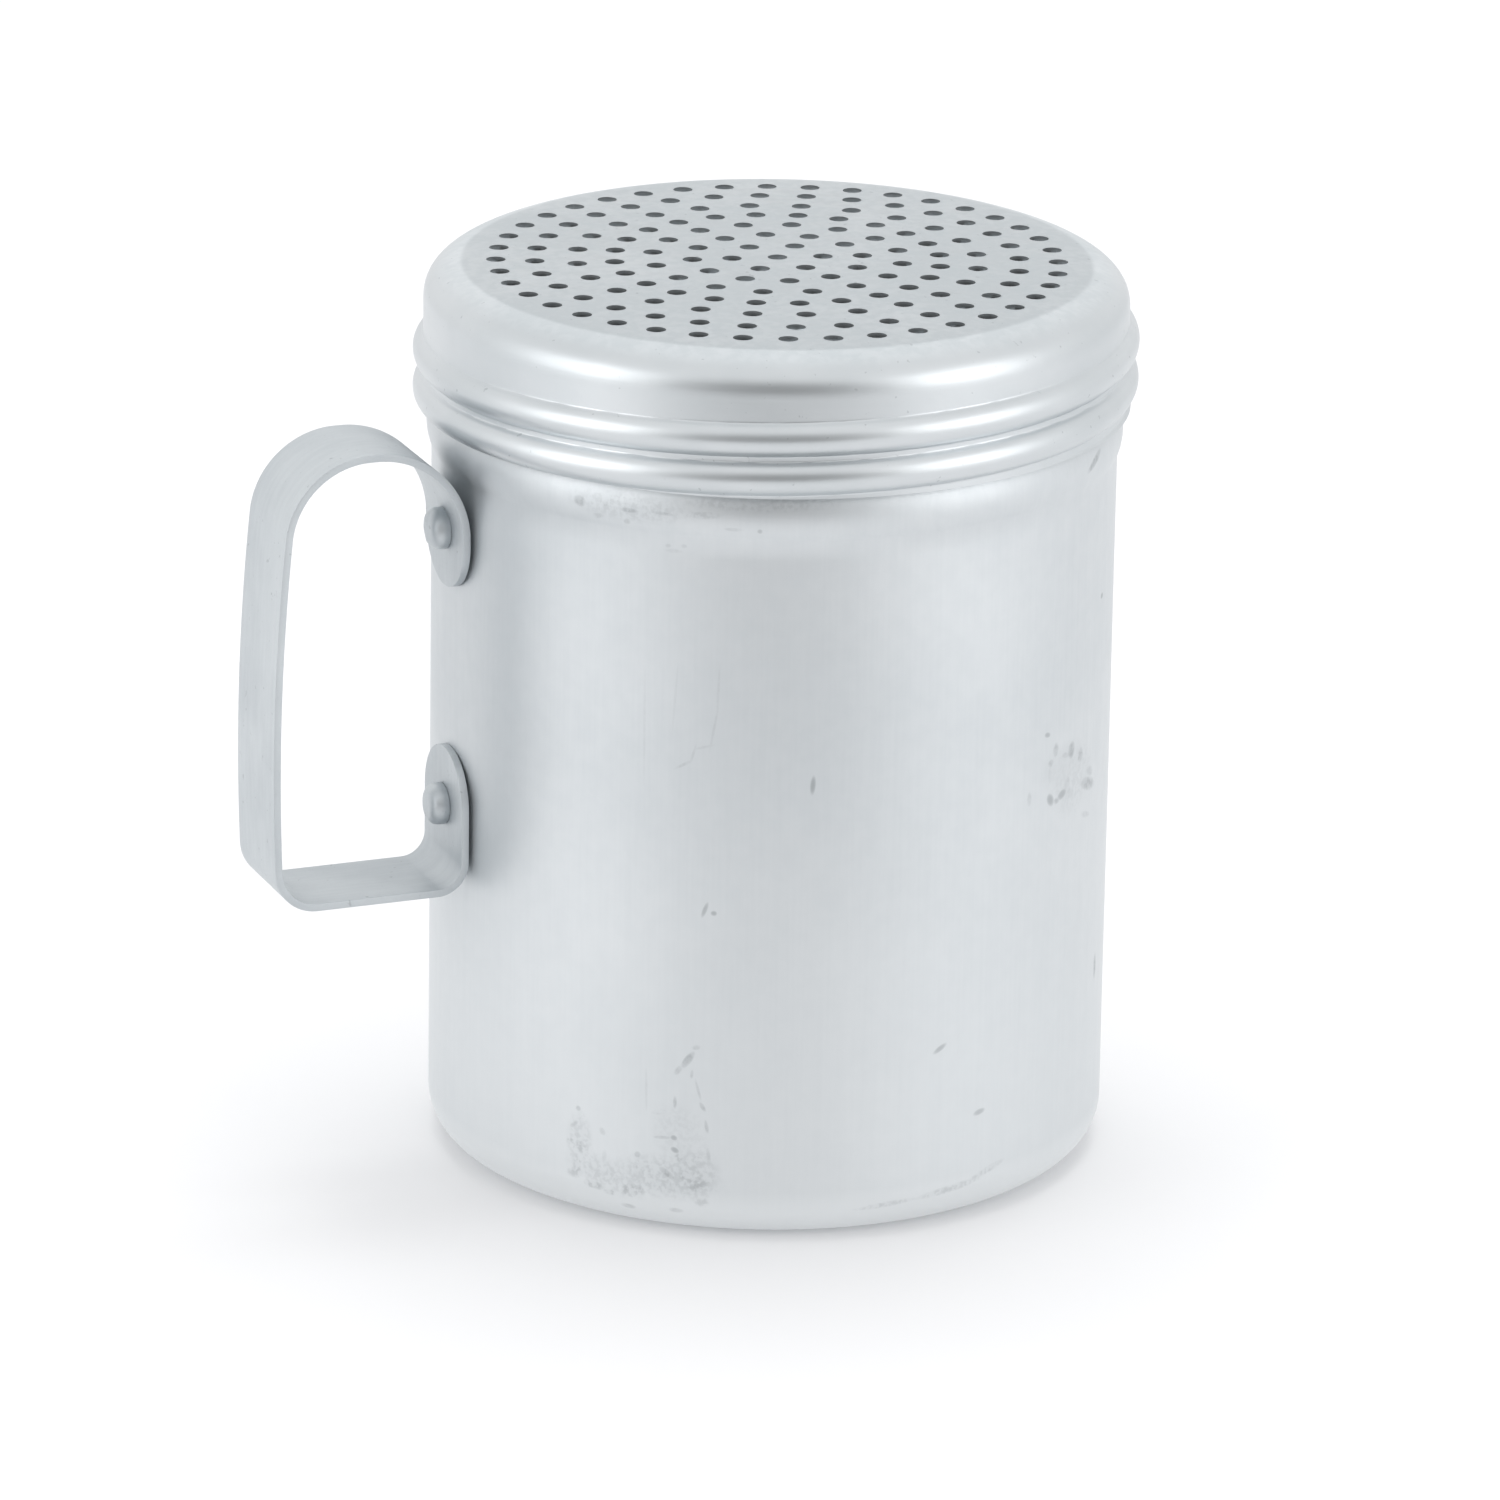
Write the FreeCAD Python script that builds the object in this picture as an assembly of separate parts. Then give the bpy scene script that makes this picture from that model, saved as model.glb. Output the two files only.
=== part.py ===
import FreeCAD, Part
import math
import os

# Restaurant spice shaker: a drawn aluminium cup with a riveted strap handle and a perforated
# lid that screws onto the cup's neck. Millimetres, +Z up, the origin at the middle of the base,
# the cup's axis on Z and the handle towards -X. All bodies of revolution turn about the Z axis.

os.makedirs("parts", exist_ok=True)

# Cup, a drawn shell with a raised shoulder bead and a straight neck
cup_radius = 34.925
neck_height = 10.1
cup_sheet = 0.8
base_fillet = 4.5
wall_height = 73.0
bead_length = 4.6
bead_proud = 0.525

# Lid shell
lid_sheet = 0.6
lid_gap = 0.3
rim_gap = 0.3
skirt_gap = 0.3
lid_corner = 5.0
lid_crown = 0.4

# Screw thread, right hand, rolled into the lid's skirt and raised on the cup's neck
thread_pitch = 4.0
thread_land = 0.2
thread_gap = 0.25
ridge_proud = 1.05
runout_proud = 0.6
sink_depth = 0.1
emerge_height = 1.2
start_drop = 0.1
top_land = 0.35
foot_land = 0.25
thread_start_angle = -170.0
runout_angle = 80.0
fade_angle = 75.0
neck_fade_angle = 55.0
path_step_angle = 22.5

# Lift ring, the inner half of the lid's sheet in a short band above the thread
ring_height = 0.8
ring_depth_share = 0.5

# Holes in the lid: rings about one centre hole
hole_radius = 1.0
dimple_mouth_radius = 1.08
dimple_ball_radius = 2.6
hole_field_margin = 2.325
ring_counts = (40, 32, 24, 24, 16, 12, 6)
ring_radius_shares = (1.0, 0.863, 0.716, 0.582, 0.446, 0.305, 0.163)
ring_phase_angles = (7.3, 4.9, 1.2, 0.8, 16.6, 16.2, 46.0)

# Handle, one bent strap with two flat tabs that end in half circles
strap_width = 11.1
strap_thickness = 0.75
tab_gap = 0.02
tab_reach = 0.5
upper_straight = 0.1
wall_bend_radius = 10.0
top_flat = 0.64163
grip_top_radius = 9.0
bow_radius = 250.0
bow_rise = 9.55
grip_bottom_radius = 4.5
lower_bend_radius = 3.3
lower_straight = 4.75

# Rivets
upper_rivet_drop = 4.7
rivet_spacing = 29.3
rivet_head_radius = 2.15
rivet_head_height = 1.5
rivet_head_edge = 0.65
rivet_flat_radius = 1.0
rivet_shank_radius = 1.6
rivet_hole_gap = 0.05
rivet_tail_radius = 2.2
rivet_tail_height = 0.9

# One overrun for every cutting tool
overrun = 2.0

# Heights and radii that follow from the sizes above
bore_radius = cup_radius - cup_sheet
shoulder_top = wall_height + bead_length
cup_height = shoulder_top + neck_height
skirt_bottom = shoulder_top + skirt_gap
skirt_inner = cup_radius + lid_gap
skirt_outer = skirt_inner + lid_sheet
crown_radius = skirt_outer - lid_corner
crown_bow = (crown_radius ** 2 + lid_crown ** 2) / (2 * lid_crown)
hole_field_radius = crown_radius - hole_field_margin
corner_height = cup_height + rim_gap
lid_edge = corner_height + lid_corner
ring_bottom = corner_height - ring_height
ring_outer = skirt_inner + lid_sheet * ring_depth_share

ridge_radius = (thread_pitch - thread_land) / 2
groove_radius = ridge_radius - lid_sheet
neck_ridge_radius = groove_radius - thread_gap
ridge_line = skirt_outer + ridge_proud - ridge_radius
runout_line = skirt_outer + runout_proud - ridge_radius
ridge_sunk_line = skirt_outer - sink_depth - ridge_radius
neck_sunk_line = cup_radius - sink_depth - neck_ridge_radius
thread_start = skirt_bottom - ridge_radius - start_drop
thread_top = ring_bottom - groove_radius - top_land
neck_thread_start = shoulder_top + neck_ridge_radius + foot_land

upper_rivet_height = wall_height - upper_rivet_drop
lower_rivet_height = upper_rivet_height - rivet_spacing
upper_end_height = upper_rivet_height - tab_reach
lower_end_height = lower_rivet_height + tab_reach
tab_plane = cup_radius + tab_gap
wall_bend_height = upper_rivet_height + upper_straight
handle_top = wall_bend_height + wall_bend_radius
lower_bend_height = lower_rivet_height - lower_straight
handle_bottom = lower_bend_height - lower_bend_radius
grip_foot_height = handle_bottom + grip_bottom_radius
bow_height = grip_foot_height + bow_rise
grip_top_height = handle_top - grip_top_radius

x_axis = FreeCAD.Vector(1, 0, 0)
y_axis = FreeCAD.Vector(0, 1, 0)
z_axis = FreeCAD.Vector(0, 0, 1)
origin = FreeCAD.Vector(0, 0, 0)


def half_plane(radius, height):
    """Return the point at a radius and a height in the X-Z plane."""
    return FreeCAD.Vector(radius, 0, height)


def line(start, end):
    """Return a straight edge."""
    return Part.makeLine(start, end)


def arc(start, middle, end):
    """Return an arc through three points."""
    return Part.Arc(start, middle, end).toShape()


def corner_arc(centre, radius, first_angle, last_angle):
    """Return an arc in the X-Z plane about a centre, with angles in degrees from +X to +Z."""
    points = []
    for angle in (first_angle, (first_angle + last_angle) / 2, last_angle):
        turn = math.radians(angle)
        points.append(centre + FreeCAD.Vector(radius * math.cos(turn), 0, radius * math.sin(turn)))
    return arc(points[0], points[1], points[2])


def turned(edges):
    """Return the solid that a closed outline in the X-Z plane sweeps about the Z axis."""
    face = Part.Face(Part.Wire(edges))
    return face.revolve(origin, z_axis, 360)


def smooth_step(value):
    """Return a value that eases from 0 to 1."""
    clipped = min(max(value, 0.0), 1.0)
    return clipped * clipped * (3 - 2 * clipped)


def blend(low, high, value):
    """Return the length between two lengths at a share from 0 to 1."""
    return low + (high - low) * value


def angle_at(height):
    """Return the azimuth, in degrees, at which the thread's line reaches a height."""
    return thread_start_angle + 360 * (height - thread_start) / thread_pitch


def thread_point(angle, radius):
    """Return the point of the thread's line at an azimuth, at a radius of its own."""
    height = thread_start + thread_pitch * (angle - thread_start_angle) / 360
    turn = math.radians(angle)
    return FreeCAD.Vector(radius * math.cos(turn), radius * math.sin(turn), height)


def thread_tube(tube_radius, first_angle, last_angle, line_radius):
    """Return a round tube along the thread's line, whose radius a function of azimuth gives."""
    steps = max(math.ceil((last_angle - first_angle) / path_step_angle), 4)
    points = []
    for index in range(steps + 1):
        angle = first_angle + (last_angle - first_angle) * index / steps
        points.append(thread_point(angle, line_radius(angle)))
    curve = Part.BSplineCurve()
    curve.interpolate(points)
    path = Part.Wire([curve.toShape()])
    section = Part.Circle(points[0], curve.tangent(curve.FirstParameter)[0], tube_radius)
    return path.makePipeShell([Part.Wire([section.toShape()])], True, True)


def lid_line(angle):
    """Return the radius of the skirt ridge's middle line at an azimuth."""
    full_angle = angle_at(skirt_bottom + emerge_height)
    rise = smooth_step((angle - full_angle + runout_angle) / runout_angle)
    fade = smooth_step((angle - angle_at(thread_top)) / fade_angle)
    return blend(blend(runout_line, ridge_line, rise), ridge_sunk_line, fade)


def neck_line(angle):
    """Return the radius of the neck ridge's middle line at an azimuth."""
    rise = smooth_step((angle - angle_at(neck_thread_start)) / neck_fade_angle)
    fade = smooth_step((angle_at(thread_top) - angle) / neck_fade_angle)
    return blend(neck_sunk_line, runout_line, min(rise, fade))


def crown_height(radius):
    """Return the height of the lid's upper face at a radius."""
    return lid_edge + lid_crown - crown_bow + math.sqrt(crown_bow ** 2 - radius ** 2)


def cup_shell_edges(radius, floor, fillet, top, wall_top, bead_top, bead_radius):
    """Return the outline of the cup's outer or inner form, from its floor to its top."""
    corner = half_plane(radius - fillet, floor + fillet)
    bead_middle = half_plane(bead_radius, (wall_top + bead_top) / 2)
    return [
        line(half_plane(0, floor), half_plane(radius - fillet, floor)),
        corner_arc(corner, fillet, -90, 0),
        line(half_plane(radius, floor + fillet), half_plane(radius, wall_top)),
        arc(half_plane(radius, wall_top), bead_middle, half_plane(radius, bead_top)),
        line(half_plane(radius, bead_top), half_plane(radius, top)),
        line(half_plane(radius, top), half_plane(0, top)),
        line(half_plane(0, top), half_plane(0, floor)),
    ]


def make_cup():
    """Return the drawn cup with its base fillet, shoulder bead and threaded neck."""
    outside = turned(
        cup_shell_edges(
            cup_radius,
            0,
            base_fillet,
            cup_height,
            wall_height,
            shoulder_top,
            cup_radius + bead_proud,
        )
    )
    inside = turned(
        cup_shell_edges(
            bore_radius,
            cup_sheet,
            base_fillet - cup_sheet,
            cup_height + overrun,
            wall_height,
            shoulder_top,
            bore_radius + bead_proud,
        )
    )
    ridge = thread_tube(
        neck_ridge_radius, angle_at(neck_thread_start), angle_at(thread_top), neck_line
    )
    shell = outside.fuse(ridge).cut(inside)
    for height in (upper_rivet_height, lower_rivet_height):
        shell = shell.cut(rivet_hole(height))
    return shell


def crown_edges(offset):
    """Return the crown's open outline, from its rounded edge to the axis, set in by an offset."""
    top = lid_edge - offset
    corner = half_plane(crown_radius, corner_height)
    centre = half_plane(0, top + lid_crown - crown_bow)
    edge_turn = math.degrees(math.acos(crown_radius / crown_bow))
    return [
        corner_arc(corner, lid_corner - offset, 0, 90),
        corner_arc(centre, crown_bow, edge_turn, 90),
    ]


def make_crown():
    """Return the lid's crowned top with its rounded edge, before its holes."""
    rim = line(half_plane(skirt_outer, corner_height), half_plane(skirt_inner, corner_height))
    middle_top = half_plane(0, lid_edge + lid_crown)
    middle = line(middle_top, middle_top - z_axis * lid_sheet)
    edges = crown_edges(0) + crown_edges(lid_sheet) + [rim, middle]
    return turned(Part.sortEdges(edges)[0])


def hole_tool(radius, angle):
    """Return the tool for one hole with a dished mouth at a radius and an azimuth."""
    top = crown_height(radius)
    turn = math.radians(angle)
    place = FreeCAD.Vector(radius * math.cos(turn), radius * math.sin(turn), top)
    ball_lift = math.sqrt(dimple_ball_radius ** 2 - dimple_mouth_radius ** 2)
    ball = Part.makeSphere(dimple_ball_radius, place + z_axis * ball_lift)
    foot = place - z_axis * (lid_sheet + overrun)
    bore = Part.makeCylinder(hole_radius, lid_sheet + overrun + ball_lift, foot)
    return bore.fuse(ball)


def make_skirt():
    """Return the lid's straight skirt with its rolled thread, up to the rounded edge."""
    first = thread_start_angle
    last = angle_at(thread_top) + fade_angle
    below_depth = 2 * ridge_radius + start_drop + overrun
    foot = half_plane(0, skirt_bottom - below_depth)
    depth = corner_height - foot.z
    outside = Part.makeCylinder(skirt_outer, depth, foot)
    inside = Part.makeCylinder(skirt_inner, depth + overrun, foot)
    ridge = thread_tube(ridge_radius, first, last, lid_line)
    groove = thread_tube(groove_radius, first, last, lid_line)
    below = Part.makeCylinder(skirt_outer + overrun, below_depth, foot)
    shell = outside.fuse(ridge).cut(inside.fuse(groove)).cut(below)
    return shell.cut(ring_solid())


def make_lid():
    """Return the lid: crowned perforated top, rounded edge and threaded skirt."""
    tools = [hole_tool(0, 0)]
    for count, share, phase in zip(ring_counts, ring_radius_shares, ring_phase_angles):
        for index in range(count):
            tools.append(hole_tool(hole_field_radius * share, phase + 360 * index / count))
    return make_crown().fuse(make_skirt()).cut(tools)


def ring_solid():
    """Return the plain band that the lift ring takes out of the lid's inner face."""
    edges = [
        line(half_plane(skirt_inner, ring_bottom), half_plane(ring_outer, ring_bottom)),
        line(half_plane(ring_outer, ring_bottom), half_plane(ring_outer, corner_height)),
        line(half_plane(ring_outer, corner_height), half_plane(skirt_inner, corner_height)),
        line(half_plane(skirt_inner, corner_height), half_plane(skirt_inner, ring_bottom)),
    ]
    return turned(edges)


def strap_outline(offset):
    """Return the strap's edges, set in by an offset from its outer face, tab to tab."""
    wall = tab_plane + offset
    top = handle_top - offset
    bottom = handle_bottom + offset
    upper = half_plane(tab_plane + wall_bend_radius, wall_bend_height)
    lower = half_plane(tab_plane + lower_bend_radius, lower_bend_height)
    grip_top = half_plane(upper.x + top_flat, grip_top_height)
    top_rise = grip_top_height - bow_height
    top_run = math.sqrt((bow_radius - grip_top_radius) ** 2 - top_rise ** 2)
    top_turn = math.degrees(math.atan2(top_rise, top_run))
    bow_centre = half_plane(grip_top.x - top_run, bow_height)
    foot_run = math.sqrt((bow_radius - grip_bottom_radius) ** 2 - bow_rise ** 2)
    grip_foot = half_plane(bow_centre.x + foot_run, grip_foot_height)
    foot_turn = math.degrees(math.atan2(-bow_rise, foot_run))
    return [
        line(half_plane(wall, upper_end_height), half_plane(wall, upper.z)),
        corner_arc(upper, wall_bend_radius - offset, 180, 90),
        line(half_plane(upper.x, top), half_plane(grip_top.x, top)),
        corner_arc(grip_top, grip_top_radius - offset, 90, top_turn),
        corner_arc(bow_centre, bow_radius - offset, top_turn, foot_turn),
        corner_arc(grip_foot, grip_bottom_radius - offset, foot_turn, -90),
        line(half_plane(grip_foot.x, bottom), half_plane(lower.x, bottom)),
        corner_arc(lower, lower_bend_radius - offset, -90, -180),
        line(half_plane(wall, lower.z), half_plane(wall, lower_end_height)),
    ]


def tab_end(height, side):
    """Return the half disc that ends a tab at a height, below it for side -1 or above it for 1."""
    half = strap_width / 2
    start = FreeCAD.Vector(tab_plane, -half, height)
    end = FreeCAD.Vector(tab_plane, half, height)
    tip = FreeCAD.Vector(tab_plane, 0, height + side * half)
    face = Part.Face(Part.Wire([arc(start, tip, end), line(end, start)]))
    return face.extrude(x_axis * strap_thickness)


def mirrored(shape):
    """Return a shape turned half a turn about Z, from the +X side to the -X side."""
    copy = shape.copy()
    copy.rotate(origin, z_axis, 180)
    return copy


def make_strap():
    """Return the handle's strap, with its bends, its round tab ends and its rivet holes."""
    outer = strap_outline(0)
    inner = strap_outline(strap_thickness)
    inner_start = half_plane(tab_plane + strap_thickness, upper_end_height)
    inner_end = half_plane(tab_plane + strap_thickness, lower_end_height)
    closing = [
        line(half_plane(tab_plane, lower_end_height), inner_end),
        line(half_plane(tab_plane, upper_end_height), inner_start),
    ]
    outline = Part.Wire(Part.sortEdges(outer + inner + closing)[0])
    band = Part.Face(outline).extrude(y_axis * strap_width)
    band.translate(y_axis * (-strap_width / 2))
    strap = band.fuse([tab_end(upper_end_height, -1), tab_end(lower_end_height, 1)])
    strap = mirrored(strap.removeSplitter())
    for height in (upper_rivet_height, lower_rivet_height):
        strap = strap.cut([rivet_hole(height), head_seat(height)])
    return strap


def rivet_hole(height):
    """Return the round tool for a rivet's hole through the strap and the cup's wall."""
    start = FreeCAD.Vector(-bore_radius + overrun, 0, height)
    depth = cup_sheet + tab_gap + strap_thickness + 2 * overrun
    return Part.makeCylinder(rivet_shank_radius + rivet_hole_gap, depth, start, x_axis * -1)


def head_seat(height):
    """Return the tool that flattens the strap's bend where a rivet's head sits on it."""
    start = FreeCAD.Vector(-tab_plane - strap_thickness, 0, height)
    return Part.makeCylinder(
        rivet_head_radius + rivet_hole_gap, rivet_head_height, start, x_axis * -1
    )


def make_rivet(height):
    """Return a rivet: low head on the strap, shank through both sheets, tail in the cup."""
    seat = tab_plane + strap_thickness
    head_top = seat + rivet_head_height
    head_edge = seat + rivet_head_edge
    middle_turn = math.radians(45)
    bulge_radius = blend(rivet_flat_radius, rivet_head_radius, math.sin(middle_turn))
    bulge_height = blend(head_edge, head_top, math.sin(middle_turn))
    edges = [
        line(half_plane(0, seat), half_plane(rivet_head_radius, seat)),
        line(half_plane(rivet_head_radius, seat), half_plane(rivet_head_radius, head_edge)),
        arc(
            half_plane(rivet_head_radius, head_edge),
            half_plane(bulge_radius, bulge_height),
            half_plane(rivet_flat_radius, head_top),
        ),
        line(half_plane(rivet_flat_radius, head_top), half_plane(0, head_top)),
        line(half_plane(0, head_top), half_plane(0, seat)),
    ]
    head = turned(edges)
    tail_top = bore_radius - rivet_tail_height
    shank = Part.makeCylinder(rivet_shank_radius, seat - tail_top, half_plane(0, tail_top))
    tail = Part.makeCylinder(rivet_tail_radius, rivet_tail_height, half_plane(0, tail_top))
    for piece in (head, shank, tail):
        piece.rotate(origin, y_axis, -90)
        piece.translate(z_axis * height)
    bore = Part.makeCylinder(
        bore_radius, 2 * rivet_tail_radius + 2 * overrun,
        half_plane(0, height - rivet_tail_radius - overrun),
    )
    return head.fuse([shank, tail.common(bore)]).removeSplitter()


def save(shape, node):
    """Write one node's solid and print its volume and box."""
    solids = shape.Solids
    solid = solids[0] if len(solids) == 1 else shape
    solid.exportStep("parts/" + node + ".step")
    box = solid.BoundBox
    print(node, len(solids), solid.isValid(), round(solid.Volume, 2), end=" ")
    print(round(box.XLength, 2), round(box.YLength, 2), round(box.ZLength, 2))


save(make_cup(), "cup_body")
save(make_lid(), "lid_cap")
save(ring_solid(), "lid_lift_ring")
save(make_strap(), "handle_strap")
save(make_rivet(upper_rivet_height), "upper_rivet")
save(make_rivet(lower_rivet_height), "lower_rivet")
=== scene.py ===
"""Visual model of a spice shaker: a drawn cup with a strap handle and a perforated screw lid.

Every length is in metres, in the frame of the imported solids: the origin at the middle of the
base, Z up along the cup's axis and the handle towards -X.
"""

from __future__ import annotations

import sys
import logging
import math
from collections.abc import Callable, Iterable, Sequence
from dataclasses import dataclass, field
from enum import Enum

import bmesh
import bpy
from mathutils import Matrix, Vector, noise
from mathutils.kdtree import KDTree


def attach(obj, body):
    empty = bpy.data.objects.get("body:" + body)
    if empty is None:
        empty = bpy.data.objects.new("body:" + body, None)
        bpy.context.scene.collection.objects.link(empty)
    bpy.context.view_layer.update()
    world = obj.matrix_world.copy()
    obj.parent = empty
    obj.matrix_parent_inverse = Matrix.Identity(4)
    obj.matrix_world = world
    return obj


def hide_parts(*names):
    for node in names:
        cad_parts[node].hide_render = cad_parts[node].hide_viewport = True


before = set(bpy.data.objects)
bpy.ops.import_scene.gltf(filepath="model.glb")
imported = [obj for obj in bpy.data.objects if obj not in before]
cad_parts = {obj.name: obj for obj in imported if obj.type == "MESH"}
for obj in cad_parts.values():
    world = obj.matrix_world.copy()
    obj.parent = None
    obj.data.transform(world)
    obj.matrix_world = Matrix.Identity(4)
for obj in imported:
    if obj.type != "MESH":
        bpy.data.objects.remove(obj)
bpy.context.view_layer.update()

LOG = logging.getLogger("spice_shaker")

MM = 0.001
PHOTO_WIDTH_PX = 1500
FULL_TURN = 2 * math.pi
STEPS_ROUND = 240
MERGE_GAP = 1e-7
NEAR = MERGE_GAP * 10
LENGTH_SLACK = 1e-9
BEVEL_STEPS = 2
FRONT_AZIMUTH = math.radians(-112)


class Body(Enum):
    """The rigid bodies that pieces ride on."""

    CUP = "cup"
    LIFT = "lid_lift"
    LID = "lid"


class Slot(Enum):
    """The record's material slots."""

    CUP = "cup_metal"
    LID = "lid_metal"
    HANDLE = "handle_metal"
    RIVET = "rivet_metal"


# Small maths


def smooth_step(value: float) -> float:
    """Return a value that eases from 0 to 1."""
    clipped = min(max(value, 0.0), 1.0)
    return clipped * clipped * (3 - 2 * clipped)


def blend(low: float, high: float, share: float) -> float:
    """Return the number between two numbers at a share from 0 to 1."""
    return low + (high - low) * share


def soft_max(first: float, second: float, softness: float) -> float:
    """Return the larger of two lengths, with a rounded change-over.

    Args:
        first: One length.
        second: The other length.
        softness: The length over which the change-over is rounded.

    Returns:
        The softened maximum.
    """
    gap = max(softness - abs(first - second), 0.0) / softness
    return max(first, second) + gap * gap * softness / 4


def arc_points(
    centre: tuple[float, float], radius: float, first: float, last: float, count: int
) -> list[tuple[float, float]]:
    """Return points of an arc in the (radius, height) plane.

    Args:
        centre: The arc's centre.
        radius: The arc's radius.
        first: The first angle, in degrees from the radius axis towards up.
        last: The last angle, in degrees.
        count: How many steps the arc has.

    Returns:
        The points, from the first angle to the last, both included.
    """
    points = []
    for index in range(count + 1):
        turn = math.radians(blend(first, last, index / count))
        points.append((centre[0] + radius * math.cos(turn), centre[1] + radius * math.sin(turn)))
    return points


def line_points(
    start: tuple[float, float], end: tuple[float, float], count: int
) -> list[tuple[float, float]]:
    """Return points of a straight run, without its two ends.

    Args:
        start: The run's start.
        end: The run's end.
        count: How many steps it has.

    Returns:
        The points between the two ends.
    """
    return [
        (blend(start[0], end[0], index / count), blend(start[1], end[1], index / count))
        for index in range(1, count)
    ]


# Mesh helpers


def spin_profile(profile: Sequence[tuple[float, float]], closed: bool) -> bmesh.types.BMesh:
    """Spin an outline of (radius, height) points a full turn about Z.

    Args:
        profile: The outline's points.
        closed: Whether the last point joins the first one.

    Returns:
        The spun mesh with its seam closed and its faces pointing outwards.
    """
    mesh = bmesh.new()
    verts = [mesh.verts.new((radius, 0.0, height)) for radius, height in profile]
    pairs = list(zip(verts, verts[1:]))
    if closed:
        pairs.append((verts[-1], verts[0]))
    edges = [mesh.edges.new(pair) for pair in pairs]
    bmesh.ops.spin(
        mesh,
        geom=verts + edges,
        cent=(0, 0, 0),
        axis=(0, 0, 1),
        angle=FULL_TURN,
        steps=STEPS_ROUND,
        use_merge=True,
    )
    bmesh.ops.remove_doubles(mesh, verts=mesh.verts, dist=MERGE_GAP)
    bmesh.ops.recalc_face_normals(mesh, faces=mesh.faces)
    return mesh


def polar(vert: bmesh.types.BMVert) -> tuple[float, float]:
    """Return a vertex's radius and azimuth about Z."""
    return math.hypot(vert.co.x, vert.co.y), math.atan2(vert.co.y, vert.co.x)


def set_radius(vert: bmesh.types.BMVert, radius: float) -> None:
    """Move a vertex to a radius about Z, on its own azimuth.

    Args:
        vert: The vertex, which is moved.
        radius: Its new radius.
    """
    _, turn = polar(vert)
    vert.co.x = radius * math.cos(turn)
    vert.co.y = radius * math.sin(turn)


def sharp_edges(mesh: bmesh.types.BMesh, least_angle: float) -> list[bmesh.types.BMEdge]:
    """Return the edges whose two faces meet at more than an angle, in degrees.

    Args:
        mesh: The mesh.
        least_angle: The angle.

    Returns:
        The edges.
    """
    limit = math.radians(least_angle)
    return [
        edge
        for edge in mesh.edges
        if len(edge.link_faces) == 2 and edge.calc_face_angle(0.0) > limit
    ]


def bevel(mesh: bmesh.types.BMesh, edges: list[bmesh.types.BMEdge], width: float) -> None:
    """Round edges with two segments.

    Args:
        mesh: The mesh, which is changed.
        edges: The edges to round.
        width: How far the rounding reaches from each edge.
    """
    bmesh.ops.bevel(
        mesh,
        geom=edges,
        offset=width,
        offset_type="OFFSET",
        segments=BEVEL_STEPS,
        profile=0.5,
        affect="EDGES",
        material=-1,
        clamp_overlap=True,
    )


def make_piece(
    mesh: bmesh.types.BMesh, name: str, material: bpy.types.Material, crease_angle: float
) -> bpy.types.Object:
    """Turn a finished mesh into an object at the origin.

    Args:
        mesh: The mesh, which is freed.
        name: The piece's name.
        material: The piece's finish.
        crease_angle: The angle, in degrees, above which an edge is shaded sharp.

    Returns:
        The new object, linked to the scene.
    """
    data = bpy.data.meshes.new(name)
    mesh.to_mesh(data)
    mesh.free()
    data.polygons.foreach_set("use_smooth", [True] * len(data.polygons))
    data.set_sharp_from_angle(angle=math.radians(crease_angle))
    data.materials.append(material)
    piece = bpy.data.objects.new(name, data)
    bpy.context.scene.collection.objects.link(piece)
    return piece


def report(piece: bpy.types.Object, body: Body, slot: Slot, *nodes: str) -> None:
    """Tie a piece to its body, hide the nodes that it stands for, and log it.

    Args:
        piece: The finished piece.
        body: The rigid body that it rides on.
        slot: Its material slot; not used.
        *nodes: The nodes that it stands for.
    """
    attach(piece, body.value)
    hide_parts(*nodes)
    LOG.info("%s: %d faces, rides on %s", piece.name, len(piece.data.polygons), body.value)


# Shader expressions


class Signal:
    """One number socket of a node tree, with arithmetic that adds its Math nodes."""

    def __init__(self, tree: "Tree", socket: bpy.types.NodeSocket) -> None:
        """Wrap a socket of a tree."""
        self.tree = tree
        self.socket = socket

    def math(self, operation: str, *others: "Signal | float") -> "Signal":
        """Return the result of a Math node on this value and the others."""
        return self.tree.math(operation, self, *others)

    def __add__(self, other: "Signal | float") -> "Signal":
        """Return the sum."""
        return self.math("ADD", other)

    def __sub__(self, other: "Signal | float") -> "Signal":
        """Return the difference."""
        return self.math("SUBTRACT", other)

    def __mul__(self, other: "Signal | float") -> "Signal":
        """Return the product."""
        return self.math("MULTIPLY", other)

    def __truediv__(self, other: "Signal | float") -> "Signal":
        """Return the quotient."""
        return self.math("DIVIDE", other)

    def __rsub__(self, other: float) -> "Signal":
        """Return a number less this value."""
        return self.tree.math("SUBTRACT", other, self)

    __radd__ = __add__
    __rmul__ = __mul__

    def most(self, other: "Signal | float") -> "Signal":
        """Return the larger of two values."""
        return self.math("MAXIMUM", other)

    def ramp(self, start: float, end: float, top: float = 1.0) -> "Signal":
        """Return a value that eases from 0 at start to a top value at end.

        Args:
            start: Where the value is 0.
            end: Where it reaches the top value.
            top: The top value.

        Returns:
            The eased value.
        """
        node = self.tree.node(
            "ShaderNodeMapRange",
            {"interpolation_type": "SMOOTHSTEP"},
            {"Value": self, "From Min": start, "From Max": end, "To Min": 0.0, "To Max": top},
        )
        return Signal(self.tree, node.outputs["Result"])


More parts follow.
